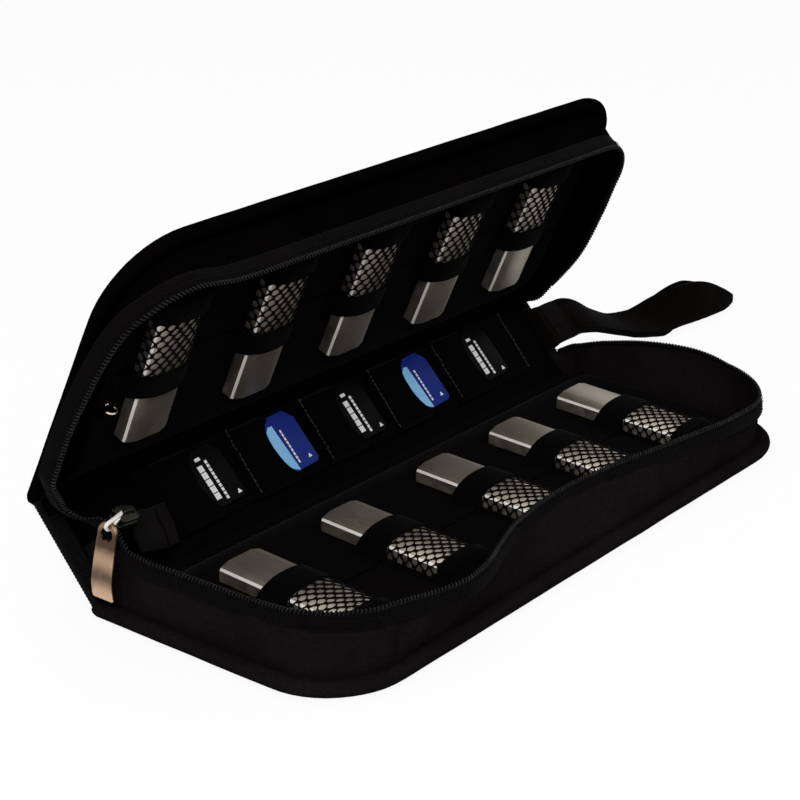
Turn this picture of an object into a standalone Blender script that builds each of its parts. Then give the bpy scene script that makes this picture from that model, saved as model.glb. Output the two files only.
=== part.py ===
"""A zipped wallet for usb sticks and memory cards, standing half open.

Metres, +Z up. The lower cover lies on z = 0 and reaches towards -Y from its
hinge, whose axis runs along X above y = 0. x = 0 is the middle of the length.
Each cover has a frame of its own: x along the hinge, y away from it and z
inwards from the cover's outer face. The spine's frame has x along the hinge,
y from the lower hinge to the upper one and z towards the inside.
"""
import math

import bmesh
import bpy
from mathutils import Matrix, Vector

# The case
CASE_LENGTH = 0.2697
COVER_DEPTH = 0.1069
COVER_THICKNESS = 0.0060
CLOSED_HEIGHT = 0.0500
CORNER_RADIUS = 0.0302
EDGE_ROUND = 0.0026
SPINE_ANGLE = math.radians(50.0)
LID_ANGLE = math.radians(119.2)

# Clearances
SEAT_GAP = 0.0003
CUT_OVERRUN = 0.0010
WELD_DISTANCE = 0.00001
FLAT_ANGLE = math.radians(0.5)

# The spine between the two hinges
SPINE_THICKNESS = 0.0030
SPINE_END_INSET = 0.0013
SPINE_ROUND = 0.0011
WEB_INSET = 0.0083
WEB_THICKNESS = 0.0012
WEB_REACH = 0.0170

# The gusset walls with the two halves of the zip on top
WALL_INSET = 0.0060
WALL_THICKNESS = 0.0012
WALL_START = 0.0100
WALL_HEIGHT = 0.0243
WALL_LEAN = 0.0140
ZIP_HEIGHT = 0.0026
ZIP_THICKNESS = 0.0016
WALL_SEAM = 0.0007

# The padded lining, a wedge that tilts the sticks
LINING_INSET = 0.0090
LINING_ROUND = 0.0210
LINING_START = 0.0060
LINING_FRONT = 0.0160
LINING_RAMP = 0.0240
LINING_FLAT_ROOM = 0.0189
LINING_THICK = 0.0046
LINING_THIN = 0.0006
LINING_LIP = 0.0010

# The usb sticks
STICK_COUNT = 5
STICK_WIDTH = 0.0194
STICK_HEIGHT = 0.0064
STICK_ROUND = 0.0011
STICK_START = 0.0276
STICK_FRONT_ROOM = 0.0229
STICK_SIDE_ROOM = 0.03905
STICK_STANDOUT = 0.0010
PLUG_OPENING = 0.0124
PLUG_OPENING_HEIGHT = 0.0026
PLUG_DEPTH = 0.0090

# The elastic band over each stick
BAND_START_SHARE = 0.3227
BAND_WIDTH_SHARE = 0.2376
BAND_THICKNESS = 0.0008
BAND_FOOT = 0.0026
BAND_CROWN = 0.0008

# The mesh pocket over each stick's far end
POCKET_WALL = 0.0009
POCKET_HEM = 0.0022
NET_LENGTH_SHARE = 0.3369
NET_THICKNESS = 0.0006
NET_EDGE = 0.0002
NET_BORDER = 0.0014
NET_COLUMNS = 4
NET_ROWS = 5
NET_STRAND = 0.0008

# The card strip on the spine
STRIP_LOW = 0.0106
STRIP_HIGH_ROOM = 0.0074
STRIP_THICKNESS = 0.0022
STRIP_NEAR_ROOM = 0.03685
STRIP_FAR_ROOM = 0.02285
STRIP_SLANT = 0.0070
CARD_COUNT = 5
CARD_NEAR_ROOM = 0.04465
CARD_FAR_ROOM = 0.03985
CARD_SPACING = 0.0063
CARD_SIDE_ROOM = 0.0010
CARD_THICKNESS = 0.0021
CARD_CUT = 0.0040
CARD_SMALL_CUT = 0.0012
SLEEVE_LENGTH = 0.0172
SLEEVE_WALL = 0.0009
SLEEVE_LAYER = 0.0006
SLEEVE_NOTCH = 0.0042

# The zip's slider, its tape end and its pull
SLIDER_INSET = 0.0130
SLIDER_ALONG = 0.0197
SLIDER_OFF = 0.0232
SLIDER_LENGTH = 0.0110
SLIDER_WIDTH = 0.0086
SLIDER_THICKNESS = 0.0050
SLIDER_ROUND = 0.0008
SLIDER_NECK = 0.0034
TAPE_THICKNESS = 0.0016
TAPE_WIDTH = 0.0120
TAPE_REACH = 0.0270
TAPE_FOOT = 0.0045
LINK_WIRE = 0.0008
LINK_RADIUS = 0.0023
LINK_APEX = 0.0027
PULL_LENGTH = 0.0260
PULL_WIDTH = 0.0084
PULL_FLARE = 0.0098
PULL_THICKNESS = 0.0012
PULL_HOLE = 0.0043
PULL_BAR = 0.0018
PULL_TILT = math.radians(13.5)
PULL_PLACE = 0.0093
PULL_SIDE = 0.0014
PULL_RISE = 0.0026

# The small ring at the upper cover's near wall
RING_SHARE = 0.0967
RING_OFF = 0.0165
RING_RADIUS = 0.0021
RING_WIRE = 0.0005
RING_TAB_WIDTH = 0.0042
RING_TAB_THICKNESS = 0.0008
RING_TAB_BAR = 0.0008
RING_TAB_ROOT = 0.0022

# The wrist strap, a loop of webbing at the spine's far end
STRAP_ALONG = 0.0297
STRAP_REACH = 0.1285
STRAP_SIDE = 0.0204
STRAP_DROP = 0.0232
STRAP_OPENING = 0.0065
STRAP_WIDTH = 0.0110
STRAP_THICKNESS = 0.0015

# Places along the gusset, outward lean and height, as shares of the wall's
# path, of WALL_LEAN and of WALL_HEIGHT
LOWER_WALL_SHARES = [
    (0.000, 0.00, 0.70), (0.020, 0.00, 0.74), (0.055, 0.00, 0.81), (0.085, -0.10, 0.97),
    (0.160, -0.18, 1.00), (0.261, -0.02, 1.00), (0.280, 0.18, 0.96), (0.304, 0.32, 0.94),
    (0.342, 0.50, 0.93), (0.381, 0.32, 0.94), (0.395, 0.11, 0.97), (0.428, -0.31, 1.00),
    (0.457, -0.57, 1.00), (0.526, -0.57, 1.00), (0.555, -0.46, 0.99), (0.617, -0.29, 0.99),
    (0.648, -0.11, 0.96), (0.703, 0.07, 0.93), (0.751, 0.18, 0.89), (0.800, -0.04, 0.97),
    (0.841, -0.21, 1.00), (0.916, -0.75, 1.00), (0.971, -0.05, 0.82), (1.000, 0.00, 0.72)]
UPPER_WALL_SHARES = [
    (0.000, 0.45, 0.84), (0.010, 0.64, 0.86), (0.030, 1.00, 0.74), (0.072, 0.79, 0.74),
    (0.119, 0.21, 0.82), (0.159, -0.02, 0.90), (0.250, -0.07, 0.97), (0.500, -0.07, 0.97),
    (0.750, -0.07, 0.97), (0.841, -0.07, 0.97), (0.930, -0.07, 0.95), (0.971, -0.03, 0.80),
    (1.000, 0.00, 0.65)]
WEB_OUTLINE_SHARES = [
    (0.155, 0.0), (0.845, 0.0), (0.800, 0.35), (0.700, 0.75), (0.600, 1.0), (0.360, 1.0),
    (0.250, 0.75), (0.200, 0.35)]
LOWER_STANDOUT_SHARES = [0.3, 1.0, 0.3, -0.2, -0.7]
UPPER_STANDOUT_SHARES = [0.3, -0.6, 1.0, -0.9, -0.8]
LOWER_PLACE_SHARES = [0.006, 0.023, 0.113, 0.029, -0.038]
UPPER_PLACE_SHARES = [-0.180, -0.129, -0.111, -0.092, -0.090]
# Reach, sideways, drop and opening of the strap's loop
STRAP_SHARES = [
    (0.000, 0.000, 0.000, 0.146), (0.068, 0.044, 0.160, 0.146), (0.134, 0.093, 0.245, 0.146),
    (0.212, 0.152, 0.315, 0.160), (0.274, 0.200, 0.427, 0.170), (0.328, 0.240, 0.560, 0.170),
    (0.422, 0.348, 0.724, 0.190), (0.515, 0.515, 0.789, 0.370), (0.609, 0.613, 0.776, 0.760),
    (0.714, 0.720, 0.711, 1.000), (0.819, 0.824, 0.737, 0.850), (0.928, 0.936, 0.884, 0.380),
    (0.985, 0.990, 0.985, 0.170)]

# Counts
ARC_STEPS = 6
WALL_STEPS = 60
WALL_ROWS = 4
HOLE_STEPS = 12

# Derived sizes
HALF_LENGTH = CASE_LENGTH / 2
ROLL = COVER_THICKNESS / 2
HINGE_PITCH = CLOSED_HEIGHT - COVER_THICKNESS
SPINE_FACE = SPINE_THICKNESS / 2
SPINE_END = HALF_LENGTH - SPINE_END_INSET
WALL_FOOT = COVER_THICKNESS + WALL_SEAM
LINING_FOOT = COVER_THICKNESS + SEAT_GAP
WALL_SIDES = 2 * (COVER_DEPTH - CORNER_RADIUS - WALL_START)
WALL_BENDS = math.pi * (CORNER_RADIUS - WALL_INSET)
WALL_PATH = WALL_SIDES + WALL_BENDS + CASE_LENGTH - 2 * CORNER_RADIUS
STICK_PITCH = (CASE_LENGTH - 2 * STICK_SIDE_ROOM) / (STICK_COUNT - 1)
STICK_LENGTH = COVER_DEPTH - STICK_START - STICK_FRONT_ROOM
LINING_FLAT = COVER_DEPTH - LINING_FLAT_ROOM
BAND_START = STICK_START + STICK_LENGTH * BAND_START_SHARE
BAND_WIDTH = STICK_LENGTH * BAND_WIDTH_SHARE
NET_LENGTH = STICK_LENGTH * NET_LENGTH_SHARE
STRIP_WIDTH = HINGE_PITCH - STRIP_LOW - STRIP_HIGH_ROOM
CARD_WIDTH = STRIP_WIDTH - 2 * CARD_SIDE_ROOM
STRIP_NEAR = HALF_LENGTH - STRIP_NEAR_ROOM
STRIP_FAR = HALF_LENGTH - STRIP_FAR_ROOM
CARD_ROW = CASE_LENGTH - CARD_NEAR_ROOM - CARD_FAR_ROOM
CARD_LENGTH = (CARD_ROW - (CARD_COUNT - 1) * CARD_SPACING) / CARD_COUNT
STRIP_FOOT = SPINE_FACE + SEAT_GAP
CARD_FOOT = STRIP_FOOT + STRIP_THICKNESS + SEAT_GAP
SLOPE = math.atan2(LINING_THICK - LINING_THIN, LINING_FLAT - LINING_RAMP)
POCKET_SIDE = STICK_WIDTH / 2 + SEAT_GAP
POCKET_TOP = STICK_HEIGHT + 2 * SEAT_GAP


def clear_scene():
    for item in list(bpy.data.objects):
        bpy.data.objects.remove(item, do_unlink=True)


def material(name, colour, roughness, metallic=0.0):
    made = bpy.data.materials.new(name)
    made.use_nodes = True
    shader = made.node_tree.nodes["Principled BSDF"]
    shader.inputs["Base Color"].default_value = (*colour, 1.0)
    shader.inputs["Roughness"].default_value = roughness
    shader.inputs["Metallic"].default_value = metallic
    return made


def make_materials():
    return {
        "nylon": material("black nylon", (0.012, 0.012, 0.013), 0.75),
        "lining": material("black lining", (0.010, 0.010, 0.011), 0.85),
        "elastic": material("black elastic", (0.009, 0.009, 0.010), 0.80),
        "net": material("black net", (0.014, 0.014, 0.015), 0.70),
        "coil": material("zip coil", (0.030, 0.030, 0.032), 0.45),
        "stick": material("brushed metal", (0.55, 0.53, 0.50), 0.35, 1.0),
        "bronze": material("bronze", (0.42, 0.27, 0.18), 0.32, 1.0),
        "card": material("black card", (0.012, 0.012, 0.014), 0.45),
        "blue card": material("blue card", (0.012, 0.035, 0.220), 0.40)}


def add(name, mesh, finish, parent=None, location=(0, 0, 0), rotation=(0, 0, 0)):
    made = bpy.data.objects.new(name, mesh)
    made.parent = parent
    made.location = location
    made.rotation_euler = rotation
    if not mesh.materials:
        mesh.materials.append(finish)
    parts.objects.link(made)
    return made


def empty(name, parent=None, location=(0, 0, 0), rotation=(0, 0, 0)):
    made = bpy.data.objects.new(name, None)
    made.parent = parent
    made.location = location
    made.rotation_euler = rotation
    parts.objects.link(made)
    return made


def modified_mesh(name, mesh, settings):
    """The mesh with modifiers applied, given as (type, settings) pairs."""
    carrier = bpy.data.objects.new(name, mesh)
    bpy.context.scene.collection.objects.link(carrier)
    for kind, values in settings:
        modifier = carrier.modifiers.new(kind.title(), kind)
        for key, value in values.items():
            setattr(modifier, key, value)
    bpy.context.view_layer.update()
    ready = carrier.evaluated_get(bpy.context.evaluated_depsgraph_get())
    made = bpy.data.meshes.new_from_object(ready)
    bpy.data.objects.remove(carrier, do_unlink=True)
    made.name = name
    return made


def rounded(mesh, width, segments=2):
    """The mesh with its edges rounded, after its flat faces are made whole."""
    work = bmesh.new()
    work.from_mesh(mesh)
    bmesh.ops.dissolve_limit(work, angle_limit=FLAT_ANGLE, verts=work.verts, edges=work.edges)
    work.to_mesh(mesh)
    work.free()
    settings = {"width": width, "segments": segments, "limit_method": "ANGLE"}
    return modified_mesh(mesh.name, mesh, [("BEVEL", settings)])


def thickened(mesh, thickness):
    settings = {"thickness": thickness, "offset": 0.0, "use_even_offset": True}
    return modified_mesh(mesh.name, mesh, [("SOLIDIFY", settings)])


def combined(mesh, other, operation):
    """The Boolean of two meshes that share a frame."""
    tool = bpy.data.objects.new("cutter", other)
    tool.hide_render = True
    tool.display_type = "WIRE"
    cutters.objects.link(tool)
    made = modified_mesh(mesh.name, mesh, [("BOOLEAN", {"object": tool, "operation": operation})])
    bpy.data.objects.remove(tool, do_unlink=True)
    made.materials.clear()
    return made


def curve_mesh(name, curve):
    carrier = bpy.data.objects.new(name, curve)
    bpy.context.scene.collection.objects.link(carrier)
    bpy.context.view_layer.update()
    ready = carrier.evaluated_get(bpy.context.evaluated_depsgraph_get())
    made = bpy.data.meshes.new_from_object(ready)
    bpy.data.objects.remove(carrier, do_unlink=True)
    work = bmesh.new()
    work.from_mesh(made)
    bmesh.ops.remove_doubles(work, verts=work.verts, dist=WELD_DISTANCE)
    work.to_mesh(made)
    work.free()
    made.name = name
    made.materials.clear()
    return made


def plate(name, outline, low, high, holes=()):
    """A flat plate in x and y between two heights, with holes through it."""
    curve = bpy.data.curves.new(name, "CURVE")
    curve.dimensions = "2D"
    curve.fill_mode = "BOTH"
    curve.extrude = (high - low) / 2
    for ring in (outline, *holes):
        spline = curve.splines.new("POLY")
        spline.points.add(len(ring) - 1)
        for point, (x, y) in zip(spline.points, ring):
            point.co = (x, y, 0, 1)
        spline.use_cyclic_u = True
    made = curve_mesh(name, curve)
    made.transform(Matrix.Translation((0, 0, (high + low) / 2)))
    return made


def across(mesh):
    """Turns a plate's x, y and thickness into y, z and x."""
    mesh.transform(Matrix(((0, 0, 1, 0), (1, 0, 0, 0), (0, 1, 0, 0), (0, 0, 0, 1))))
    return mesh


def tube(name, points, radius):
    curve = bpy.data.curves.new(name, "CURVE")
    curve.dimensions = "3D"
    curve.bevel_depth = radius
    curve.bevel_resolution = 2
    curve.use_fill_caps = True
    spline = curve.splines.new("POLY")
    spline.points.add(len(points) - 1)
    for point, place in zip(spline.points, points):
        point.co = (*place, 1)
    return curve_mesh(name, curve)


def box(name, low, high):
    made = bpy.data.meshes.new(name)
    work = bmesh.new()
    bmesh.ops.create_cube(work, size=1.0)
    for vertex in work.verts:
        vertex.co = [a + (b - a) * (c + 0.5) for a, b, c in zip(low, high, vertex.co)]
    work.to_mesh(made)
    work.free()
    return made


def ribbon(name, rows):
    """An open surface through rows of points, from a grid."""
    columns = len(rows[0])
    made = bpy.data.meshes.new(name)
    work = bmesh.new()
    bmesh.ops.create_grid(work, x_segments=columns - 1, y_segments=len(rows) - 1, size=1.0)
    work.verts.ensure_lookup_table()
    for index, vertex in enumerate(work.verts):
        row, column = divmod(index, columns)
        vertex.co = rows[row][column]
    work.to_mesh(made)
    work.free()
    return made


def arc(centre, radius, start, end, steps):
    angles = [start + (end - start) * i / steps for i in range(steps + 1)]
    return [(centre[0] + radius * math.cos(a), centre[1] + radius * math.sin(a)) for a in angles]


def circle(centre, radius, steps=HOLE_STEPS):
    return arc(centre, radius, 0, math.tau, steps)[:-1]


def tray_outline(half, low, high, radius):
    """A rectangle whose two corners away from the hinge are round."""
    right = arc((half - radius, high - radius), radius, 0, math.pi / 2, ARC_STEPS)
    left = arc((radius - half, high - radius), radius, math.pi / 2, math.pi, ARC_STEPS)
    return [(-half, low), (half, low), *right, *left]


def cover_mesh(name):
    outline = tray_outline(HALF_LENGTH, -ROLL, COVER_DEPTH, CORNER_RADIUS)
    return rounded(plate(name, outline, 0, COVER_THICKNESS), EDGE_ROUND, 3)


def lining_mesh(name):
    """The wedge of padding, cut to the tray's round corners."""
    foot = LINING_FOOT
    profile = [
        (LINING_START, foot), (COVER_DEPTH, foot), (COVER_DEPTH, foot + LINING_THIN),
        (LINING_FLAT, foot + LINING_THIN), (LINING_RAMP, foot + LINING_THICK),
        (LINING_FRONT, foot + LINING_THICK), (LINING_START + LINING_THICK, foot + LINING_LIP),
        (LINING_START, foot + LINING_LIP)]
    half = HALF_LENGTH - LINING_INSET
    wedge = across(plate(name, profile, -HALF_LENGTH, HALF_LENGTH))
    far = COVER_DEPTH - LINING_INSET
    outline = tray_outline(half, LINING_START - CUT_OVERRUN, far, LINING_ROUND)
    block = plate("tray", outline, foot - CUT_OVERRUN, foot + LINING_THICK + CUT_OVERRUN)
    return combined(wedge, block, "INTERSECT")


def wall_place(share):
    """A point of the wall's path and the outward direction there."""
    half = HALF_LENGTH - WALL_INSET
    far = COVER_DEPTH - WALL_INSET
    radius = CORNER_RADIUS - WALL_INSET
    side = far - radius - WALL_START
    bend = radius * math.pi / 2
    front = 2 * (half - radius)
    way = share * WALL_PATH
    if way <= side:
        return (-half, WALL_START + way), (-1, 0)
    way -= side
    if way <= bend:
        turn = math.pi - way / radius
        out = (math.cos(turn), math.sin(turn))
        return (radius - half + radius * out[0], far - radius + radius * out[1]), out
    way -= bend
    if way <= front:
        return (radius - half + way, far), (0, 1)
    way -= front
    if way <= bend:
        turn = math.pi / 2 - way / radius
        out = (math.cos(turn), math.sin(turn))
        return (half - radius + radius * out[0], far - radius + radius * out[1]), out
    way -= bend
    return (half, far - radius - way), (1, 0)


def wall_form(shares, share):
    """Lean and height between the stations, eased from one to the next."""
    for (start, lean, height), (end, next_lean, next_height) in zip(shares, shares[1:]):
        if share <= end:
            break
    t = (share - start) / (end - start)
    t = t * t * (3 - 2 * t)
    lean_share = lean + (next_lean - lean) * t
    height_share = height + (next_height - height) * t
    return lean_share * WALL_LEAN, height_share * WALL_HEIGHT


def wall_rows(shares, heights):
    """Rows of points along the wall, which heights(top) gives as (rise, share of the lean)."""
    rows = []
    for index in range(WALL_STEPS + 1):
        place_share = index / WALL_STEPS
        (x, y), out = wall_place(place_share)
        lean, top = wall_form(shares, place_share)
        row = []
        for rise, lean_share in heights(top):
            off = lean * lean_share
            row.append((x + out[0] * off, y + out[1] * off, rise))
        rows.append(row)
    return rows


def gusset_mesh(name, shares):
    def heights(top):
        high = top - ZIP_HEIGHT - WALL_SEAM
        steps = [i / (WALL_ROWS - 1) for i in range(WALL_ROWS)]
        return [(WALL_FOOT + (high - WALL_FOOT) * t, t * t * (3 - 2 * t)) for t in steps]
    return thickened(ribbon(name, wall_rows(shares, heights)), WALL_THICKNESS)


def zip_mesh(name, shares):
    def heights(top):
        return [(top - ZIP_HEIGHT, 1), (top, 1)]
    return thickened(ribbon(name, wall_rows(shares, heights)), ZIP_THICKNESS)


def stick_mesh(name):
    """A bevelled metal body with the plug's opening at its far end."""
    half = STICK_WIDTH / 2
    body = rounded(box(name, (-half, 0, 0), (half, STICK_LENGTH, STICK_HEIGHT)), STICK_ROUND)
    middle = STICK_HEIGHT / 2
    low = (-PLUG_OPENING / 2, STICK_LENGTH - PLUG_DEPTH, middle)
    high = (PLUG_OPENING / 2, STICK_LENGTH + CUT_OVERRUN, middle + PLUG_OPENING_HEIGHT)
    return combined(body, box("opening", low, high), "DIFFERENCE")


def band_mesh(name):
    """A strap over the stick with a foot on each side."""
    half = BAND_THICKNESS / 2
    foot = SEAT_GAP + half
    side = POCKET_SIDE + half
    top = POCKET_TOP + half
    right = [
        (side + BAND_FOOT, foot), (side + half, foot), (side, foot + half),
        (side, top - BAND_THICKNESS), (side - half, top), (side / 2, top + BAND_CROWN * 3 / 4)]
    path = [(-x, z) for x, z in right] + [(0, top + BAND_CROWN)] + right[::-1]
    rows = [[(x, y, z) for x, z in path] for y in (0, BAND_WIDTH)]
    return thickened(ribbon(name, rows), BAND_THICKNESS)


def net_holes(half, low, high):
    """Diamond gaps in rows across the panel."""
    width = 2 * (half - NET_BORDER) / NET_COLUMNS
    length = (high - low - 2 * NET_BORDER) / NET_ROWS
    across_gap = (width - NET_STRAND) / 2
    along_gap = (length - NET_STRAND) / 2
    holes = []
    for row in range(NET_ROWS):
        for column in range(NET_COLUMNS):
            x = NET_BORDER - half + width * (column + 0.5)
            y = low + NET_BORDER + length * (row + 0.5)
            diamond = [(-across_gap, 0), (0, -along_gap), (across_gap, 0), (0, along_gap)]
            holes.append([(x + a, y + b) for a, b in diamond])
    return holes


def pocket_mesh(name):
    """Two side walls and an end hem under a flat net panel."""
    inner = POCKET_SIDE
    outer = inner + POCKET_WALL
    end = STICK_START + STICK_STANDOUT + STICK_LENGTH + SEAT_GAP - BAND_START - BAND_WIDTH
    base = [
        (-outer, 0), (-inner, 0), (-inner, end), (inner, end), (inner, 0), (outer, 0),
        (outer, end + POCKET_WALL), (-outer, end + POCKET_WALL)]
    made = plate(name, base, SEAT_GAP, POCKET_HEM)
    middle = POCKET_TOP + NET_THICKNESS / 2
    for side in (-1, 1):
        low, high = sorted((side * (inner + NET_EDGE), side * (outer - NET_EDGE)))
        wall = box("wall", (low, NET_EDGE, POCKET_HEM / 2), (high, NET_LENGTH - NET_EDGE, middle))
        made = combined(made, wall, "UNION")
    panel = [(-outer, 0), (outer, 0), (outer, NET_LENGTH), (-outer, NET_LENGTH)]
    holes = net_holes(inner, 0, NET_LENGTH)
    net = plate("net", panel, POCKET_TOP, POCKET_TOP + NET_THICKNESS, holes)
    return combined(made, net, "UNION")


def card_mesh(name):
    half = CARD_WIDTH / 2
    outline = [
        (0, -half), (CARD_LENGTH - CARD_SMALL_CUT, -half), (CARD_LENGTH, CARD_SMALL_CUT - half),
        (CARD_LENGTH, half - CARD_CUT), (CARD_LENGTH - CARD_CUT, half), (0, half)]
    return plate(name, outline, 0, CARD_THICKNESS)


def sleeve_mesh(name):
    """A pocket sewn on three sides, with a thumb notch in its open edge."""
    gap = SEAT_GAP
    half = CARD_WIDTH / 2 + gap + SLEEVE_WALL
    left = -gap - SLEEVE_WALL
    right = left + SLEEVE_LENGTH
    radius = (SLEEVE_NOTCH ** 2 + (half / 2) ** 2) / (2 * SLEEVE_NOTCH)
    turn = math.asin(half / 2 / radius)
    centre = (right - SLEEVE_NOTCH + radius, 0)
    notch = arc(centre, radius, math.pi + turn, math.pi - turn, ARC_STEPS)
    outline = [(left, -half), (right, -half), *notch, (right, half), (left, half)]
    top = gap + CARD_THICKNESS + SLEEVE_LAYER
    made = plate(name, outline, 0, top)
    low = (-gap, -CARD_WIDTH / 2 - gap, -CUT_OVERRUN)
    high = (right + CUT_OVERRUN, CARD_WIDTH / 2 + gap, CARD_THICKNESS + gap)
    return combined(made, box("room", low, high), "DIFFERENCE")


def strip_mesh(name):
    high = STRIP_LOW + STRIP_WIDTH
    outline = [
        (STRIP_SLANT - STRIP_NEAR, STRIP_LOW), (STRIP_FAR, STRIP_LOW),
        (STRIP_FAR, high), (-STRIP_NEAR, high)]
    return plate(name, outline, STRIP_FOOT, STRIP_FOOT + STRIP_THICKNESS)


def web_mesh(name, side):
    outline = []
    for along, out in WEB_OUTLINE_SHARES:
        outline.append((HINGE_PITCH * along, STRIP_FOOT + WEB_REACH * out))
    face = HALF_LENGTH - WEB_INSET
    low, high = sorted((side * face, side * (face - WEB_THICKNESS)))
    return across(plate(name, outline, low, high))


def slider_mesh(name):
    """Two plates joined by a neck, with room for the tape between them."""
    size = Vector((SLIDER_LENGTH, SLIDER_WIDTH, SLIDER_THICKNESS)) / 2
    body = rounded(box(name, -size, size), SLIDER_ROUND)
    room = TAPE_THICKNESS / 2 + SEAT_GAP
    low = (SLIDER_NECK - size.x, -size.y - CUT_OVERRUN, -room)
    high = (size.x + CUT_OVERRUN, size.y + CUT_OVERRUN, room)
    return combined(body, box("slot", low, high), "DIFFERENCE")


def tape_mesh(name, near):
    """The zip's tape from the slider down to the card strip."""
    low = SLIDER_ALONG - TAPE_WIDTH / 2
    high = SLIDER_ALONG + TAPE_WIDTH / 2
    foot = CARD_FOOT + TAPE_THICKNESS / 2
    fall = SLIDER_OFF - foot
    end = near + TAPE_REACH
    path = [
        (near, SLIDER_OFF), (near + SLIDER_LENGTH, SLIDER_OFF),
        (end - 2 * TAPE_FOOT, foot + fall * 2 / 3), (end - TAPE_FOOT, foot + fall / 4),
        (end - TAPE_FOOT / 2, foot + TAPE_THICKNESS / 2), (end, foot), (end + TAPE_FOOT, foot)]
    rows = [[(x, y, z) for x, z in path] for y in (low, high)]
    return thickened(ribbon(name, rows), TAPE_THICKNESS)


def link_mesh(name):
    """A hook from the slider's face over and round the pull's bar, at the origin."""
    side = -PULL_SIDE
    seat = PULL_RISE - SEAT_GAP
    bend = arc((0, 0), LINK_RADIUS, math.pi / 2, math.pi * 3 / 2, ARC_STEPS)
    points = [
        (PULL_PLACE + SLIDER_LENGTH / 4, side, -LINK_WIRE / 2),
        (PULL_PLACE - SLIDER_LENGTH / 6, side, 0),
        (SLIDER_LENGTH / 2, side, seat - LINK_WIRE),
        (LINK_RADIUS, side / 2, LINK_APEX)]
    points += [(x, 0, z) for x, z in bend]
    return tube(name, points, LINK_WIRE)


def pull_mesh(name):
    """A flat tab hanging from its bar at the origin."""
    half = PULL_WIDTH / 2
    top = PULL_BAR / 2
    hole = (0, -top - PULL_HOLE / 2)
    bottom = top - PULL_LENGTH
    crown = arc((0, top - half), half, 0, math.pi, 2 * ARC_STEPS)
    middle = (hole[1] + 3 * bottom) / 4
    outline = [
        (-PULL_FLARE / 2, bottom), (PULL_FLARE / 2, bottom), (half, middle), *crown, (-half, middle)]
    holes = [circle(hole, PULL_HOLE / 2)]
    return across(plate(name, outline, -PULL_THICKNESS / 2, PULL_THICKNESS / 2, holes))


def ring_tab_mesh(name):
    """A small tab with a hole, whose outer bar is at the origin."""
    hole = RING_RADIUS + RING_WIRE + SEAT_GAP
    radius = (hole - RING_TAB_BAR / 2) / 2
    centre = (-RING_TAB_BAR / 2 - radius, 0)
    half = RING_TAB_WIDTH / 2
    left = -hole - RING_TAB_ROOT
    outline = [(left, -half), (RING_TAB_BAR / 2, -half), (RING_TAB_BAR / 2, half), (left, half)]
    holes = [circle(centre, radius)]
    return plate(name, outline, -RING_TAB_THICKNESS / 2, RING_TAB_THICKNESS / 2, holes)


def ring_mesh(name):
    """A ring of wire round the origin, in x and z."""
    bpy.ops.mesh.primitive_torus_add(
        major_radius=RING_RADIUS, minor_radius=RING_WIRE, major_segments=16, minor_segments=6)
    maker = bpy.context.active_object
    made = maker.data.copy()
    made.name = name
    bpy.data.objects.remove(maker, do_unlink=True)
    made.transform(Matrix.Rotation(math.pi / 2, 4, "X"))
    return made


def strap_places():
    """Centres of the loop's two layers, out along the upper and back along the lower."""
    upper = []
    lower = []
    for reach, side, drop, opening in STRAP_SHARES:
        x = STRAP_REACH * reach
        y = -STRAP_SIDE * side
        z = -STRAP_DROP * drop
        upper.append(Vector((x, y, z + STRAP_OPENING * opening)))
        lower.append(Vector((x, y, z - STRAP_OPENING * opening)))
    tip = Vector((STRAP_REACH, -STRAP_SIDE, -STRAP_DROP))
    return upper + [tip] + lower[::-1]


def strap_mesh(name):
    places = strap_places()
    along = Vector((STRAP_REACH, -STRAP_SIDE, 0)).normalized()
    sideways = Vector((-along.y, along.x, 0)) * STRAP_WIDTH / 2
    straight = Vector((0, 1, 0)) * STRAP_WIDTH / 2
    rows = []
    for place in places:
        bend = min(place.x / STRAP_WIDTH, 1)
        edge = straight.lerp(sideways, bend)
        rows.append([place - edge, place + edge])
    return thickened(ribbon(name, rows), STRAP_THICKNESS)


def build_cover(label, frame, finishes, contents, wall_shares, standout_shares, place_shares, flip):
    """One cover with its walls, zip half, lining and row of usb sticks."""
    stick, band, pocket = contents
    add(f"{label}_cover", cover_mesh(f"{label}_cover"), finishes["nylon"], frame)
    gusset = gusset_mesh(f"{label}_gusset", wall_shares)
    zip_half = zip_mesh(f"{label}_zip", wall_shares)
    if flip:
        mirror_along(gusset)
        mirror_along(zip_half)
    add(f"{label}_gusset", gusset, finishes["nylon"], frame)
    add(f"{label}_zip", zip_half, finishes["coil"], frame)
    add(f"{label}_lining", lining_mesh(f"{label}_lining"), finishes["lining"], frame)
    seat = (0, LINING_RAMP, LINING_FOOT + LINING_THICK)
    slope = empty(f"{label}_slope", frame, seat, (-SLOPE, 0, 0))
    for index in range(STICK_COUNT):
        x = (index - (STICK_COUNT - 1) / 2 + place_shares[index]) * STICK_PITCH
        x = -x if flip else x
        start = STICK_START + standout_shares[index] * STICK_STANDOUT - LINING_RAMP
        band_start = BAND_START - LINING_RAMP
        net_start = band_start + BAND_WIDTH + SEAT_GAP
        row = f"{label}_{index + 1}"
        add(f"usb_stick_{row}", stick, finishes["stick"], slope, (x, start, SEAT_GAP))
        add(f"elastic_band_{row}", band, finishes["elastic"], slope, (x, band_start, 0))
        add(f"mesh_pocket_{row}", pocket, finishes["net"], slope, (x, net_start, 0))


def mirror_along(mesh):
    """Swaps the near and the far end of a wall."""
    mesh.transform(Matrix.Scale(-1, 4, (1, 0, 0)))
    mesh.flip_normals()


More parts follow.
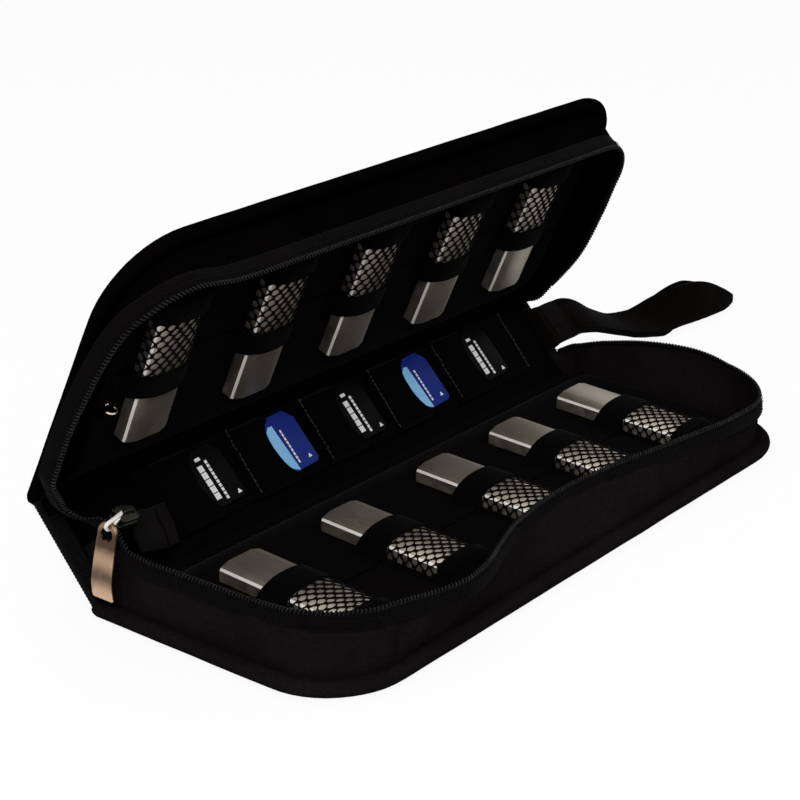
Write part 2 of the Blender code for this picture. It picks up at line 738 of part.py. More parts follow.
def build_spine(frame, finishes):
    low = ROLL + SEAT_GAP
    high = HINGE_PITCH - low
    outline = [(-SPINE_END, low), (SPINE_END, low), (SPINE_END, high), (-SPINE_END, high)]
    cover = rounded(plate("spine_cover", outline, -SPINE_FACE, SPINE_FACE), SPINE_ROUND)
    add("spine_cover", cover, finishes["nylon"], frame)
    add("near_gusset_end", web_mesh("near_gusset_end", -1), finishes["nylon"], frame)
    add("far_gusset_end", web_mesh("far_gusset_end", 1), finishes["nylon"], frame)
    add("card_strip", strip_mesh("card_strip"), finishes["lining"], frame)
    card = {"black": card_mesh("black_card"), "blue": card_mesh("blue_card")}
    sleeve = sleeve_mesh("card_pocket")
    for index in range(CARD_COUNT):
        start = CARD_NEAR_ROOM - HALF_LENGTH + index * (CARD_LENGTH + CARD_SPACING)
        place = (start, STRIP_LOW + STRIP_WIDTH / 2, CARD_FOOT)
        blue = index % 2 == 1
        finish = finishes["blue card"] if blue else finishes["card"]
        add(f"memory_card_{index + 1}", card["blue" if blue else "black"], finish, frame, place)
        add(f"card_pocket_{index + 1}", sleeve, finishes["lining"], frame, place)


def build_zip_end(frame, finishes):
    near = SLIDER_INSET - HALF_LENGTH + SLIDER_NECK - SLIDER_LENGTH / 2 + SEAT_GAP
    add("zip_tape_end", tape_mesh("zip_tape_end", near), finishes["nylon"], frame)
    place = (SLIDER_INSET - HALF_LENGTH, SLIDER_ALONG, SLIDER_OFF)
    slider = add("zip_slider", slider_mesh("zip_slider"), finishes["bronze"], frame, place)
    face = SLIDER_THICKNESS / 2 + SEAT_GAP + LINK_WIRE
    level = empty("pull_level", slider, (0, 0, face), (-SPINE_ANGLE, 0, 0))
    hang = (-PULL_PLACE, PULL_SIDE, 0)
    add("pull_link", link_mesh("pull_link"), finishes["bronze"], level, hang)
    add("pull_tab", pull_mesh("pull_tab"), finishes["bronze"], level, hang, (0, PULL_TILT, 0))


def build_ring(frame, finishes):
    """The tab reaches inwards from the zip half's face, clear of it at its own far corner."""
    middle, out = wall_place(RING_SHARE)
    corner_share = RING_SHARE + RING_TAB_WIDTH / 2 / WALL_PATH
    lean = wall_form(UPPER_WALL_SHARES, corner_share)[0]
    reach = SEAT_GAP + RING_TAB_ROOT + RING_RADIUS + RING_WIRE + SEAT_GAP
    x = middle[0] - lean + ZIP_THICKNESS / 2 + reach
    place = (x, middle[1], RING_OFF)
    add("ring_tab", ring_tab_mesh("ring_tab"), finishes["nylon"], frame, place)
    add("small_ring", ring_mesh("small_ring"), finishes["bronze"], frame, place)


def build():
    finishes = make_materials()
    lower = empty("lower_frame", None, (0, 0, 0), (0, 0, math.pi))
    spine = empty("spine_hinge", None, (0, 0, ROLL), (SPINE_ANGLE, 0, 0))
    hinge = empty("lid_hinge", spine, (0, HINGE_PITCH, 0), (LID_ANGLE - SPINE_ANGLE, 0, 0))
    upper = empty("upper_frame", hinge, (0, 0, -ROLL))
    contents = (stick_mesh("usb_stick"), band_mesh("elastic_band"), pocket_mesh("mesh_pocket"))
    build_cover(
        "lower", lower, finishes, contents,
        LOWER_WALL_SHARES, LOWER_STANDOUT_SHARES, LOWER_PLACE_SHARES, True)
    build_cover(
        "upper", upper, finishes, contents,
        UPPER_WALL_SHARES, UPPER_STANDOUT_SHARES, UPPER_PLACE_SHARES, False)
    build_spine(spine, finishes)
    build_zip_end(spine, finishes)
    build_ring(upper, finishes)
    root = empty("strap_hinge", spine, (SPINE_END + SEAT_GAP, STRAP_ALONG, 0), (-SPINE_ANGLE, 0, 0))
    add("wrist_strap", strap_mesh("wrist_strap"), finishes["nylon"], root)
    bpy.context.view_layer.update()


clear_scene()
parts = bpy.data.collections.new("usb drive wallet")
cutters = bpy.data.collections.new("cutters")
bpy.context.scene.collection.children.link(parts)
bpy.context.scene.collection.children.link(cutters)
build()
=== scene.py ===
"""The looks of the usb drive wallet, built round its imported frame.

Lengths are in millimetres until low, spine or up turns them into places. In a
cover's own terms x runs along the hinge, v away from it and n inwards from the
outer face. In the spine's, h runs from the lower hinge to the upper one and m
towards the inside. The two colours that a material is given are linear, in
ten-thousandths.
"""

import math

import bmesh
import bpy
from mathutils import Matrix, Vector, noise


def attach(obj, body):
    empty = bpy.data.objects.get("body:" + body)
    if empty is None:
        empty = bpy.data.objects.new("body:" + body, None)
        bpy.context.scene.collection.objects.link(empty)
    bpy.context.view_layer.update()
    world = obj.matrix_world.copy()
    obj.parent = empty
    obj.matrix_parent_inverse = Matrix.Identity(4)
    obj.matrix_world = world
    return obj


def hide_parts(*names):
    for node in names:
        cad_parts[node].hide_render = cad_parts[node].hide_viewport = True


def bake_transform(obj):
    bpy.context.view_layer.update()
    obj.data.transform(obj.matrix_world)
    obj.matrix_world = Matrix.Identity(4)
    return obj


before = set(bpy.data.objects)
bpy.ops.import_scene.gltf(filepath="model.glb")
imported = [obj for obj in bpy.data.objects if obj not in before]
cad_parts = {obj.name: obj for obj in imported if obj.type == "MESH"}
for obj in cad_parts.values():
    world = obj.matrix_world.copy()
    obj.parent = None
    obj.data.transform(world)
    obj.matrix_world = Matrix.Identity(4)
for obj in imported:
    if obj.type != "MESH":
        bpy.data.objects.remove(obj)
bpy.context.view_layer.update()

MM = 0.001
SPINE_ANGLE = math.radians(50.0)
LID_ANGLE = math.radians(119.2)
HINGE_HEIGHT = 3
HINGE_PITCH = 44.0  # from the lower hinge to the upper one
HALF = 134.85  # half a cover's length
DEPTH = 106.9  # from the hinge to a cover's front edge
CORNER = 30.2  # radius of a cover's front corners
SLOPE = math.atan2(4.0, 64.0)  # of the padding under the sticks

# Each wall's top: share of the way round, then lean and height as shares of the full ones
FULL_LEAN = 14.0
FULL_HEIGHT = 24.3
LOWER_WALL = [
    (0.000, 0.06, 1.10), (0.026, 0.05, 1.04), (0.040, -0.08, 1.02), (0.060, -0.06, 1.02), (0.080, -0.13, 1.00),
    (0.120, -0.20, 0.98), (0.160, -0.25, 1.01), (0.180, -0.33, 1.02), (0.200, -0.28, 1.03), (0.220, -0.25, 1.02),
    (0.240, -0.16, 1.00), (0.260, 0.00, 1.00), (0.280, 0.11, 0.96), (0.300, 0.24, 0.94), (0.320, 0.38, 0.95),
    (0.340, 0.36, 0.97), (0.360, 0.21, 0.975), (0.380, -0.04, 0.97), (0.400, -0.24, 0.99), (0.420, -0.42, 1.00),
    (0.440, -0.52, 1.00), (0.460, -0.63, 1.00), (0.500, -0.68, 1.00), (0.540, -0.59, 1.00), (0.580, -0.42, 1.00),
    (0.620, -0.20, 0.99), (0.660, -0.09, 0.96), (0.700, 0.07, 0.94), (0.740, 0.08, 0.92), (0.760, 0.08, 0.92),
    (0.780, 0.09, 0.94), (0.800, 0.07, 0.99), (0.820, 0.08, 1.03), (0.840, 0.18, 1.06), (0.860, 0.34, 1.10),
    (0.880, 0.40, 1.13), (0.900, 0.36, 1.14), (0.920, 0.28, 1.13), (0.940, 0.20, 1.10), (0.960, 0.22, 1.03),
    (0.980, 0.18, 0.96), (1.000, 0.10, 0.90)]
UPPER_WALL = [
    (0.000, 0.45, 0.84), (0.010, 0.64, 0.86), (0.030, 1.00, 0.72), (0.050, 1.00, 0.68), (0.072, 1.00, 0.67),
    (0.095, 0.98, 0.67), (0.119, 0.90, 0.68), (0.140, 0.82, 0.69), (0.159, 0.70, 0.70), (0.180, 0.55, 0.74),
    (0.200, 0.40, 0.82), (0.225, 0.14, 0.87), (0.250, -0.03, 0.93), (0.280, -0.10, 0.95), (0.320, -0.07, 0.97),
    (0.500, -0.07, 0.97), (0.720, -0.08, 0.96), (0.750, -0.14, 0.94), (0.790, -0.25, 0.92), (0.841, -0.21, 0.92),
    (0.880, -0.10, 0.94), (0.930, -0.07, 0.94), (0.971, -0.03, 0.80), (1.000, 0.00, 0.65)]
# The sticks' places along the hinge, how far each stands out, then the bands' width and the nets' length
STICKS = {
    "lower": ([-95.5, -46.8, 5.4, 49.3, 94.0], [0.3, 1.0, 0.3, -0.2, -0.7], 10.8, 23.0),
    "upper": ([-104.4, -54.1, -5.3, 43.5, 91.5], [0.3, -0.6, 1.0, -0.9, -0.8], 8.6, 22.5)}
# The strap's middle line: x, y, z, the turn of its width in degrees, half its gap and its width's share
STRAP = [
    (133.9, 12.0, 24.0, 48, 0.15, 1), (142.6, 14.5, 22.6, 46, 0.6, 1), (150.8, 16.6, 21.2, 42, 0.8, 1),
    (155.5, 16.7, 21.1, 37, 0.8, 1), (160.4, 16.1, 20.1, 35, 0.8, 1), (165.6, 15.4, 18.4, 31, 0.8, 1),
    (170.2, 14.9, 16.3, 28, 0.8, 1), (175.5, 14.3, 13.7, 22, 0.8, 1), (185.4, 12.5, 9.6, 16, 0.8, 1),
    (191.3, 11.1, 8.1, 15, 0.9, 1), (199.2, 8.8, 7.2, 18, 1.0, 1), (205.6, 7.7, 7.1, 28, 1.3, 1),
    (212.1, 6.6, 7.8, 44, 2.0, 1), (218.7, 5.6, 9.0, 62, 3.0, 1), (225.4, 4.4, 9.9, 76, 3.8, 1),
    (232.2, 3.4, 10.0, 80, 4.0, 1), (239.1, 2.3, 8.9, 80, 3.6, 0.90), (246.1, 1.2, 7.3, 80, 2.8, 0.74),
    (252.5, 0.0, 5.8, 82, 2.2, 0.55), (257.2, -0.6, 4.9, 84, 1.5, 0.36), (259.8, -1.0, 4.5, 84, 0.8, 0.22)]


def low(x, v, n):
    return Vector((x, -v, n)) * MM


def spine(x, h, m):
    c, s = math.cos(SPINE_ANGLE), math.sin(SPINE_ANGLE)
    return Vector((x, h * c - m * s, HINGE_HEIGHT + h * s + m * c)) * MM


def up(x, v, n):
    c, s = math.cos(LID_ANGLE), math.sin(LID_ANGLE)
    off = n - HINGE_HEIGHT
    base = spine(x, HINGE_PITCH, 0) / MM
    return Vector((x, base.y + v * c - off * s, base.z + v * s + off * c)) * MM


LIDS = {"lower": (low, LOWER_WALL), "upper": (up, UPPER_WALL)}


def smooth(t):
    t = min(max(t, 0), 1)
    return t * t * (3 - 2 * t)


def rough(x, y=0.0, z=0.0):
    return noise.noise(Vector((x, y, z)))


def steps(start, end, count):
    return [start + (end - start) * i / count for i in range(count + 1)]


# Materials
def node(tree, kind, settings=None, **inputs):
    made = tree.nodes.new(kind)
    for key, value in (settings or {}).items():
        setattr(made, key, value)
    for key, value in inputs.items():
        socket = made.inputs[int(key[1:])] if key[1:].isdigit() else made.inputs[key.replace("_", " ")]
        if isinstance(value, bpy.types.NodeSocket):
            tree.links.new(value, socket)
        else:
            socket.default_value = value
    return made


def maths(tree, operation, a, b):
    return node(tree, "ShaderNodeMath", {"operation": operation}, i0=a, i1=b).outputs[0]


def times(tree, a, b):
    return maths(tree, "MULTIPLY", a, b)


def plus(tree, a, b):
    return maths(tree, "ADD", a, b)


def object_place(tree):
    return node(tree, "ShaderNodeTexCoord").outputs["Object"]


def specked(tree, where, scale, detail, **more):
    return node(tree, "ShaderNodeTexNoise", Vector=where, Scale=scale, Detail=detail, **more).outputs["Fac"]


def waves(tree, vector, direction, pitch, distortion=0.4):
    """Parallel threads of that pitch in millimetres, across x or y."""
    return node(
        tree, "ShaderNodeTexWave", {"bands_direction": direction},
        Vector=vector, Scale=0.31416 / (pitch * MM), Distortion=distortion, Detail=1.0,
        Detail_Scale=1.0).outputs["Fac"]


def start_material(name, **constants):
    made = bpy.data.materials.new(name)
    made.use_nodes = True
    tree = made.node_tree
    shader = tree.nodes["Principled BSDF"]
    for key, value in constants.items():
        shader.inputs[key.replace("_", " ")].default_value = value
    return made, tree, shader


def tint(tree, shader, factor, dark, light):
    """The colour: dark where the factor is 0 and light where it is 1."""
    made = node(tree, "ShaderNodeMix", {"data_type": "RGBA"}, i0=factor)
    for socket, colour in ((6, dark), (7, light)):
        made.inputs[socket].default_value = (*(c / 10000 for c in colour), 1)
    tree.links.new(made.outputs[2], shader.inputs["Base Color"])


def roughen(tree, shader, value, least, most):
    span = node(tree, "ShaderNodeMapRange", Value=value, From_Min=0.3, From_Max=0.7, To_Min=least, To_Max=most)
    tree.links.new(span.outputs["Result"], shader.inputs["Roughness"])


def emboss(tree, shader, strength, distance, height):
    lifted = node(tree, "ShaderNodeBump", Strength=strength, Distance=distance, Height=height)
    tree.links.new(lifted.outputs["Normal"], shader.inputs["Normal"])


def fabric(name, dark, light, pitch, bump, wide=1.0, roughness=0.9, specular=0.01, rib=None, sheen=0.01):
    """Woven cloth: threads both ways on the piece's own uv, in metres, with worn lighter patches."""
    made, tree, shader = start_material(
        name, Roughness=roughness, Specular_IOR_Level=specular, Sheen_Weight=sheen, Sheen_Roughness=0.5)
    place = node(tree, "ShaderNodeUVMap").outputs["UV"]
    weave = times(tree, waves(tree, place, "X", pitch * wide), waves(tree, place, "Y", pitch))
    if rib:
        weave = times(tree, waves(tree, place, "X", rib, 0.1), weave)
    where = object_place(tree)
    patches = specked(tree, where, 38.0, 5.0, Roughness=0.62)
    specks = specked(tree, where, 900.0, 2.0)
    tint(tree, shader, times(tree, plus(tree, times(tree, weave, 0.45), specks), patches), dark, light)
    emboss(tree, shader, bump, 0.0002, plus(tree, weave, times(tree, specks, 0.5)))
    return made


def metal(name, dark, light, roughness, grain, bump, stretch=(1, 1, 1), spots=300.0):
    """Metal with a brushed grain and slightly uneven colour and polish."""
    made, tree, shader = start_material(name, Metallic=1.0)
    where = object_place(tree)
    drawn = node(tree, "ShaderNodeMapping", Vector=where, Scale=stretch).outputs["Vector"]
    brushed = specked(tree, drawn, grain, 4.0)
    tint(tree, shader, times(tree, plus(tree, brushed, 0.5), specked(tree, where, spots, 3.0)), dark, light)
    roughen(tree, shader, brushed, roughness * 0.85, roughness * 1.2)
    emboss(tree, shader, bump, 0.00005, brushed)
    return made


def painted_reflection_metal(name, dark, light):
    """Bowed metal with painted reflections: its tone swings softly along its height and is brightest at its foot,
    in metres.
    """
    foot, head = 0.0125, 0.036
    made, tree, shader = start_material(name, Metallic=1.0)
    where = object_place(tree)
    height = node(tree, "ShaderNodeSeparateXYZ", Vector=where).outputs["Z"]
    painted_bands = maths(tree, "COSINE", times(tree, plus(tree, height, -foot), 540.0), 0.0)
    painted_brightening = times(tree, plus(tree, height, -head), -18.0)
    grain = specked(tree, where, 400.0, 4.0)
    painted_tone = plus(tree, times(tree, painted_bands, 0.24), painted_brightening)
    tint(tree, shader, plus(tree, painted_tone, times(tree, plus(tree, grain, -0.5), 0.15)), dark, light)
    roughen(tree, shader, grain, 0.26, 0.38)
    return made


def plastic(name, dark, light, roughness, grain, specular):
    made, tree, shader = start_material(name, Specular_IOR_Level=specular)
    where = object_place(tree)
    clouds = specked(tree, where, 90.0, 4.0)
    tint(tree, shader, clouds, dark, light)
    roughen(tree, shader, clouds, roughness * 0.8, roughness * 1.2)
    emboss(tree, shader, 0.08, 0.00005, specked(tree, where, grain, 2.0))
    return made


# The covers' nylon in two copies with painted light: the lower lid's is painted lighter against the shade it lies
# in, the upper lid's painted darker against the light it gets.
NYLON_PAINTED_BY_LIGHT = {
    "lower": fabric("lower lid nylon painted lighter", (32, 24, 26), (136, 112, 116), 0.6, 0.35, specular=0.0, sheen=0.001),
    "upper": fabric("upper lid nylon painted darker", (7, 4, 5), (28, 21, 23), 0.6, 0.35, specular=0.0, sheen=0.001)}
RIBBED = fabric("ribbed nylon", (16, 14, 15), (110, 100, 102), 0.5, 0.3, roughness=0.85, specular=0.02)
LINING = fabric("black lining", (7, 4, 6), (26, 16, 21), 0.4, 0.2, roughness=0.95)
SATIN = fabric("black satin", (6, 4, 6), (21, 16, 21), 0.35, 0.12, 1.4, 0.8)
ELASTIC = fabric("black elastic", (6, 5, 6), (30, 23, 26), 0.5, 0.4, rib=1.1)
NET = fabric("black net", (8, 6, 6), (36, 29, 28), 0.3, 0.3, roughness=0.8, specular=0.02)
TAPE = fabric("zip tape", (14, 11, 12), (58, 48, 50), 0.45, 0.4, rib=1.3)
WEBBING = fabric("webbing", (7, 5, 4), (34, 25, 19), 0.7, 0.4, 1.6, rib=1.6)
PALE_TAPE = fabric("worn tape", (22, 18, 17), (120, 98, 92), 0.45, 0.5, roughness=0.85, rib=1.2)
COIL = plastic("zip coil", (36, 33, 36), (125, 116, 116), 0.5, 900.0, 0.12)
THREAD = plastic("grey thread", (120, 110, 110), (450, 410, 400), 0.8, 2500.0, 0.1)
BLACK_THREAD = plastic("black thread", (12, 9, 10), (60, 52, 52), 0.8, 2500.0, 0.05)
STICK = metal("brushed metal", (2750, 2380, 1950), (4600, 4050, 3400), 0.50, 260.0, 0.10, (30, 1, 1), 60.0)
# Painted highlight: a bright, nearly diffuse colour on the sticks' top arrises and on the pull's link stands in for
# their glints.
PAINTED_HIGHLIGHT = plastic("painted highlight", (6200, 5800, 5200), (8800, 8400, 7800), 0.3, 900.0, 0.6)
GUNMETAL = metal("slider metal", (120, 125, 100), (500, 500, 400), 0.5, 700.0, 0.12)
# The pull tab's bands of light and dark along its height are painted reflections.
PULL = painted_reflection_metal("pull tab metal, painted reflections", (800, 480, 300), (8500, 5700, 3800))
GOLD = metal("pale gold", (6200, 5000, 4200), (9200, 8000, 7000), 0.18, 400.0, 0.05)
CARD = plastic("black card", (11, 8, 10), (32, 26, 30), 0.55, 2000.0, 0.03)
BLUE_CARD = plastic("blue card", (60, 140, 1300), (120, 300, 2400), 0.5, 2000.0, 0.08)
LIGHT_BLUE = plastic("light blue print", (1200, 3600, 6600), (3400, 6200, 9000), 0.5, 2000.0, 0.1)
WHITE = plastic("white print", (6200, 6200, 6200), (8200, 8200, 8200), 0.5, 2000.0, 0.1)
PLUG = plastic("plug plastic", (10, 20, 40), (40, 80, 140), 0.25, 1200.0, 0.4)


# Mesh helpers
def link_object(name, mesh):
    made = bpy.data.objects.new(name, mesh)
    bpy.context.scene.collection.objects.link(made)
    return made


def lengths(points):
    total = [0.0]
    for a, b in zip(points, points[1:]):
        total.append(total[-1] + (b - a).length)
    return total


def tidy(mesh, angle=40.0):
    work = bmesh.new()
    work.from_mesh(mesh)
    bmesh.ops.recalc_face_normals(work, faces=work.faces)
    work.to_mesh(mesh)
    work.free()
    mesh.polygons.foreach_set("use_smooth", [True] * len(mesh.polygons))
    mesh.set_sharp_from_angle(angle=math.radians(angle))
    mesh.update()


def changed(mesh, kind, angle=40.0, **values):
    """The mesh with one modifier applied."""
    carrier = link_object("carrier", mesh)
    modifier = carrier.modifiers.new(kind, kind)
    for key, value in values.items():
        setattr(modifier, key, value)
    bpy.context.view_layer.update()
    ready = carrier.evaluated_get(bpy.context.evaluated_depsgraph_get())
    made = bpy.data.meshes.new_from_object(ready)
    bpy.data.objects.remove(carrier, do_unlink=True)
    tidy(made, angle)
    return made


def ring_rows(points, radius, closed=False, sides=6):
    """Rings round a line of places; radius in millimetres, one or one for each point."""
    rows = []
    count = len(points)
    normal = None
    for i, p in enumerate(points):
        before = points[i - 1] if (i or closed) else p
        after = points[(i + 1) % count] if (i < count - 1 or closed) else p
        way = (after - before).normalized()
        if normal is None:
            normal = way.orthogonal().normalized()
        normal = (normal - way * normal.dot(way)).normalized()
        side = way.cross(normal)
        size = (radius[i] if isinstance(radius, list) else radius) * MM
        rows.append([p + (normal * math.cos(a) + side * math.sin(a)) * size
                     for a in (math.tau * k / sides for k in range(sides))])
    if closed:
        rows.append(rows[0])
    return rows


class Shape:
    """Gathers surfaces and wires into one mesh."""

    def __init__(self, name):
        self.name = name
        self.verts, self.faces, self.uvs, self.kinds, self.materials = [], [], [], [], []

    def kind(self, material):
        if material not in self.materials:
            self.materials.append(material)
        return self.materials.index(material)

    def grid(self, rows, material, closed=False, caps=False):
        """A surface through rows of places, with uv in metres along and across them."""
        kind = self.kind(material)
        base = len(self.verts)
        width = len(rows[0])
        along = lengths([row[width // 2] for row in rows])
        middle = rows[len(rows) // 2]
        across = lengths(middle + (middle[:1] if closed else []))
        self.verts += [p for row in rows for p in row]
        for i in range(len(rows) - 1):
            for j in range(width if closed else width - 1):
                k = (j + 1) % width
                here, there = base + i * width, base + (i + 1) * width
                self.faces.append((here + j, here + k, there + k, there + j))
                self.uvs += [(along[i], across[j]), (along[i], across[j + 1]),
                             (along[i + 1], across[j + 1]), (along[i + 1], across[j])]
                self.kinds.append(kind)
        if caps:
            for start in (base, base + (len(rows) - 1) * width):
                ring = list(range(start, start + width))
                self.faces.append(tuple(ring))
                self.uvs += [(self.verts[v].x, self.verts[v].y) for v in ring]
                self.kinds.append(kind)
        return self

    def tube(self, points, radius, material, closed=False, sides=6):
        return self.grid(ring_rows(points, radius, closed, sides), material, True, not closed)

    def stitch(self, points, radius, material=BLACK_THREAD):
        return self.tube(points, radius, material, sides=4)

    def plate(self, outline, material):
        """One flat face through places."""
        base = len(self.verts)
        self.verts += outline
        self.faces.append(tuple(range(base, base + len(outline))))
        self.uvs += [(p.x, p.y) for p in outline]
        self.kinds.append(self.kind(material))
        return self

    def take(self, mesh):
        """Adds a finished mesh with its own materials."""
        base = len(self.verts)
        kinds = [self.kind(m) for m in mesh.materials]
        self.verts += [v.co.copy() for v in mesh.vertices]
        layer = mesh.uv_layers[0].data
        for face in mesh.polygons:
            self.faces.append(tuple(base + v for v in face.vertices))
            self.uvs += [tuple(layer[k].uv) for k in face.loop_indices]
            self.kinds.append(kinds[face.material_index])
        return self

    def sheet(self, rows, material, thickness):
        return self.take(sheet_mesh(rows, material, thickness))

    def mesh(self, angle=40.0, weld=False):
        made = bpy.data.meshes.new(self.name)
        made.from_pydata(self.verts, [], self.faces)
        made.uv_layers.new(name="UVMap").data.foreach_set("uv", [c for uv in self.uvs for c in uv])
        for material in self.materials:
            made.materials.append(material)
        made.polygons.foreach_set("material_index", self.kinds)
        if weld:
            work = bmesh.new()
            work.from_mesh(made)
            bmesh.ops.remove_doubles(work, verts=work.verts, dist=2e-6)
            work.to_mesh(made)
            work.free()
        tidy(made, angle)
        return made

    def build(self, angle=40.0, weld=False):
        return link_object(self.name, self.mesh(angle, weld))


def sheet_mesh(rows, material, thickness):
    """A grid given thickness, in millimetres."""
    mesh = Shape("sheet").grid(rows, material).mesh()
    return changed(mesh, "SOLIDIFY", thickness=thickness * MM, offset=0.0)


def block(rings, material, bevel):
    """A solid through rings of places, its arrises rounded."""
    mesh = Shape("block").grid(rings, material, True, True).mesh()
    return changed(mesh, "BEVEL", width=bevel * MM, segments=2, limit_method="ANGLE")


def along_line(way, goal, k):
    """The span of a line that holds a length along it, searched from span k, and the share of that span."""
    while k < len(way) - 2 and way[k + 1] < goal:
        k += 1
    return k, (goal - way[k]) / max(way[k + 1] - way[k], 1e-12)


def curve_through(points, count, closed=False):
    """Evenly placed points on a smooth line through the given ones."""
    total = len(points)
    dense = []
    for i in range(total if closed else total - 1):
        if closed:
            p0, p1, p2, p3 = (points[(i + k) % total] for k in (-1, 0, 1, 2))
        else:
            p0, p1, p2, p3 = (points[min(max(i + k, 0), total - 1)] for k in (-1, 0, 1, 2))
        for j in range(16):
            t = j / 16
            dense.append(0.5 * (2 * p1 + (p2 - p0) * t + (2 * p0 - 5 * p1 + 4 * p2 - p3) * t * t
                                + (3 * p1 - p0 - 3 * p2 + p3) * t ** 3))
    if not closed:
        dense.append(points[-1].copy())
    way = lengths(dense)
    made = []
    k = 0
    for i in range(count + 1):
        k, t = along_line(way, way[-1] * i / count, k)
        made.append(dense[k].lerp(dense[k + 1], t))
    return made


def corners(rows, count):
    """Points round a plan's corners, each given by its middle, its radius and where its quarter turn starts."""
    return [(x + r * math.cos(a), y + r * math.sin(a)) for x, y, r, start in rows
            for a in (math.radians(start + 90 * k / count) for k in range(count + 1))]


def slotted(piece, slot, body, *nodes):
    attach(piece, body)
    if nodes:
        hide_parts(*nodes)
    return piece


# The walls
WALL_INSET = 6
WALL_FOOT = 5.0
WALL_START = 10
WALL_RADIUS = 24.2
WALL_SIDE = DEPTH - CORNER - WALL_START
WALL_FRONT = 2 * (HALF - CORNER)
WALL_PATH = 2 * WALL_SIDE + math.pi * WALL_RADIUS + WALL_FRONT
CLOTH = 0.9  # thickness of the walls' and the end cloths' nylon
ZIP_DROP = 1.6  # how far their edge stays below the zip
TAPE_DEPTH = 6.2


def wall_place(share):
    """Place on the wall's path, x and v, and the direction outwards; share runs from near to far hinge."""
    if share > 0.5:
        x, v, ox, ov = wall_place(1 - share)
        return -x, v, -ox, ov
    half = HALF - WALL_INSET
    far = DEPTH - WALL_INSET
    way = share * WALL_PATH
    bend = WALL_RADIUS * math.pi / 2
    if way <= WALL_SIDE:
        return -half, WALL_START + way, -1.0, 0.0
    way -= WALL_SIDE
    if way <= bend:
        turn = math.pi - way / WALL_RADIUS
        c, s = math.cos(turn), math.sin(turn)
        return WALL_RADIUS - half + WALL_RADIUS * c, far - WALL_RADIUS + WALL_RADIUS * s, c, s
    return WALL_RADIUS - half + way - bend, far, 0.0, 1.0


def wall_form(lid, share):
    """How far the wall's top leans out and stands up, in millimetres, on a smooth line through its table."""
    table = LIDS[lid][1]
    k = 0
    while k < len(table) - 2 and table[k + 1][0] < share:
        k += 1
    rows = [table[min(max(k + d, 0), len(table) - 1)] for d in (-1, 0, 1, 2)]
    span = rows[2][0] - rows[1][0]
    t = min(max((share - rows[1][0]) / span, 0), 1)
    u, v = t * t, t * t * t
    values = []
    for n in (1, 2):
        p0, p1, p2, p3 = (row[n] for row in rows)
        first = (p2 - p0) * span / max(rows[2][0] - rows[0][0], 1e-9)
        last = (p3 - p1) * span / max(rows[3][0] - rows[1][0], 1e-9)
        values.append((2 * v - 3 * u + 1) * p1 + (v - 2 * u + t) * first + (3 * u - 2 * v) * p2 + (v - u) * last)
    return values[0] * FULL_LEAN, values[1] * FULL_HEIGHT


def wall_point(lid, share, n, off):
    x, v, ox, ov = wall_place(share)
    return LIDS[lid][0](x + ox * off, v + ov * off, n)


def wall_top(lid, share):
    lean, top = wall_form(lid, share)
    return wall_point(lid, share, top, lean)


def wall_rows(lid, start, end):
    """The wall's cloth from its foot in the rim up to the zip's tape, with soft folds."""
    creases = ((0.262, -1.5, 0.006), (0.285, 1.1, 0.008), (0.222, -0.7, 0.005)) if lid == "lower" else ()
    seed = 3.1 if lid == "lower" else 17.7
    made = []
    for share in steps(start, end, 330):
        lean, top = wall_form(lid, share)
        calm = smooth((share - start) / 0.02) * smooth((end - share) / 0.02)
        row = []
        for t in steps(0, 1, 12):
            fold = rough(share * 34, t * 1.4, seed) * 1.0 + rough(share * 95, t * 2.2, seed + 5) * 0.45
            for place, depth, width in creases:
                fold += depth * math.exp(-((share - place - 0.012 * (t - 0.5)) / width) ** 2)
            row.append(wall_point(
                lid, share, WALL_FOOT + (top - ZIP_DROP - WALL_FOOT) * t,
                lean * smooth(t) + fold * math.sin(math.pi * t) * calm))
        made.append(row)
    return made


def zip_run(name, edge, outward, upward, tape=TAPE_DEPTH):
    """Tape, cord and coil along an edge of places with an outward and an upward direction at each."""
    section = ((-tape, 0.75), (-tape + 1.2, 0.95), (-2.6, 0.8), (-1.2, 0.4), (-0.4, 0.0))
    rows = [[p + n * (d * MM) + o * (s * MM) for d, s in section] for p, o, n in zip(edge, outward, upward)]
    shape = Shape(name).sheet(rows, TAPE, 0.45)
    shape.tube(edge, 0.42, TAPE)
    way = lengths(edge)
    count = 8 * max(1, round(way[-1] / (1.35 * MM)))
    helix = []
    k = 0
    for i in range(count + 1):
        k, t = along_line(way, way[-1] * i / count, k)
        p, o, n = (line[k].lerp(line[k + 1], t) for line in (edge, outward, upward))
        a = math.tau * i / 8
        helix.append(p + o * (0.58 * MM * math.cos(a)) + n * (0.70 * MM * math.sin(a)))
    shape.tube(helix, 0.23, COIL, sides=5)
    for below in (tape - 0.7, 2.2):
        for i in range(2, len(edge) - 3, 3):
            a, b = (edge[k] - upward[k] * (below * MM) + outward[k] * (1.18 * MM) for k in (i, i + 2))
            shape.stitch([a, (a + b) / 2 + outward[i + 1] * (0.1 * MM), b], 0.14)
    return shape.build()


# The covers
def outline(inset, start=-3.0, half=HALF, depth=DEPTH, radius=CORNER, hinge_radius=2.5):
    """Points round a cover's plan, the same number for every inset."""
    x1 = half - inset
    v0 = start + inset
    v1 = depth - inset
    far = max(radius - inset, 1.0)
    near = max(hinge_radius - inset * 0.3, 0.4)
    count = 12
    points = corners(((x1 - far, v1 - far, far, 0), (far - x1, v1 - far, far, 90),
                      (near - x1, v0 + near, near, 180), (x1 - near, v0 + near, near, 270)), count)
    full = []
    spans = {count: 54, 2 * count + 1: 16, 3 * count + 2: 54, 4 * count + 3: 16}
    for i, a in enumerate(points):
        b = points[(i + 1) % len(points)]
        pieces = spans.get(i, 1)
        full += [(a[0] + (b[0] - a[0]) * k / pieces, a[1] + (b[1] - a[1]) * k / pieces) for k in range(pieces)]
    return full


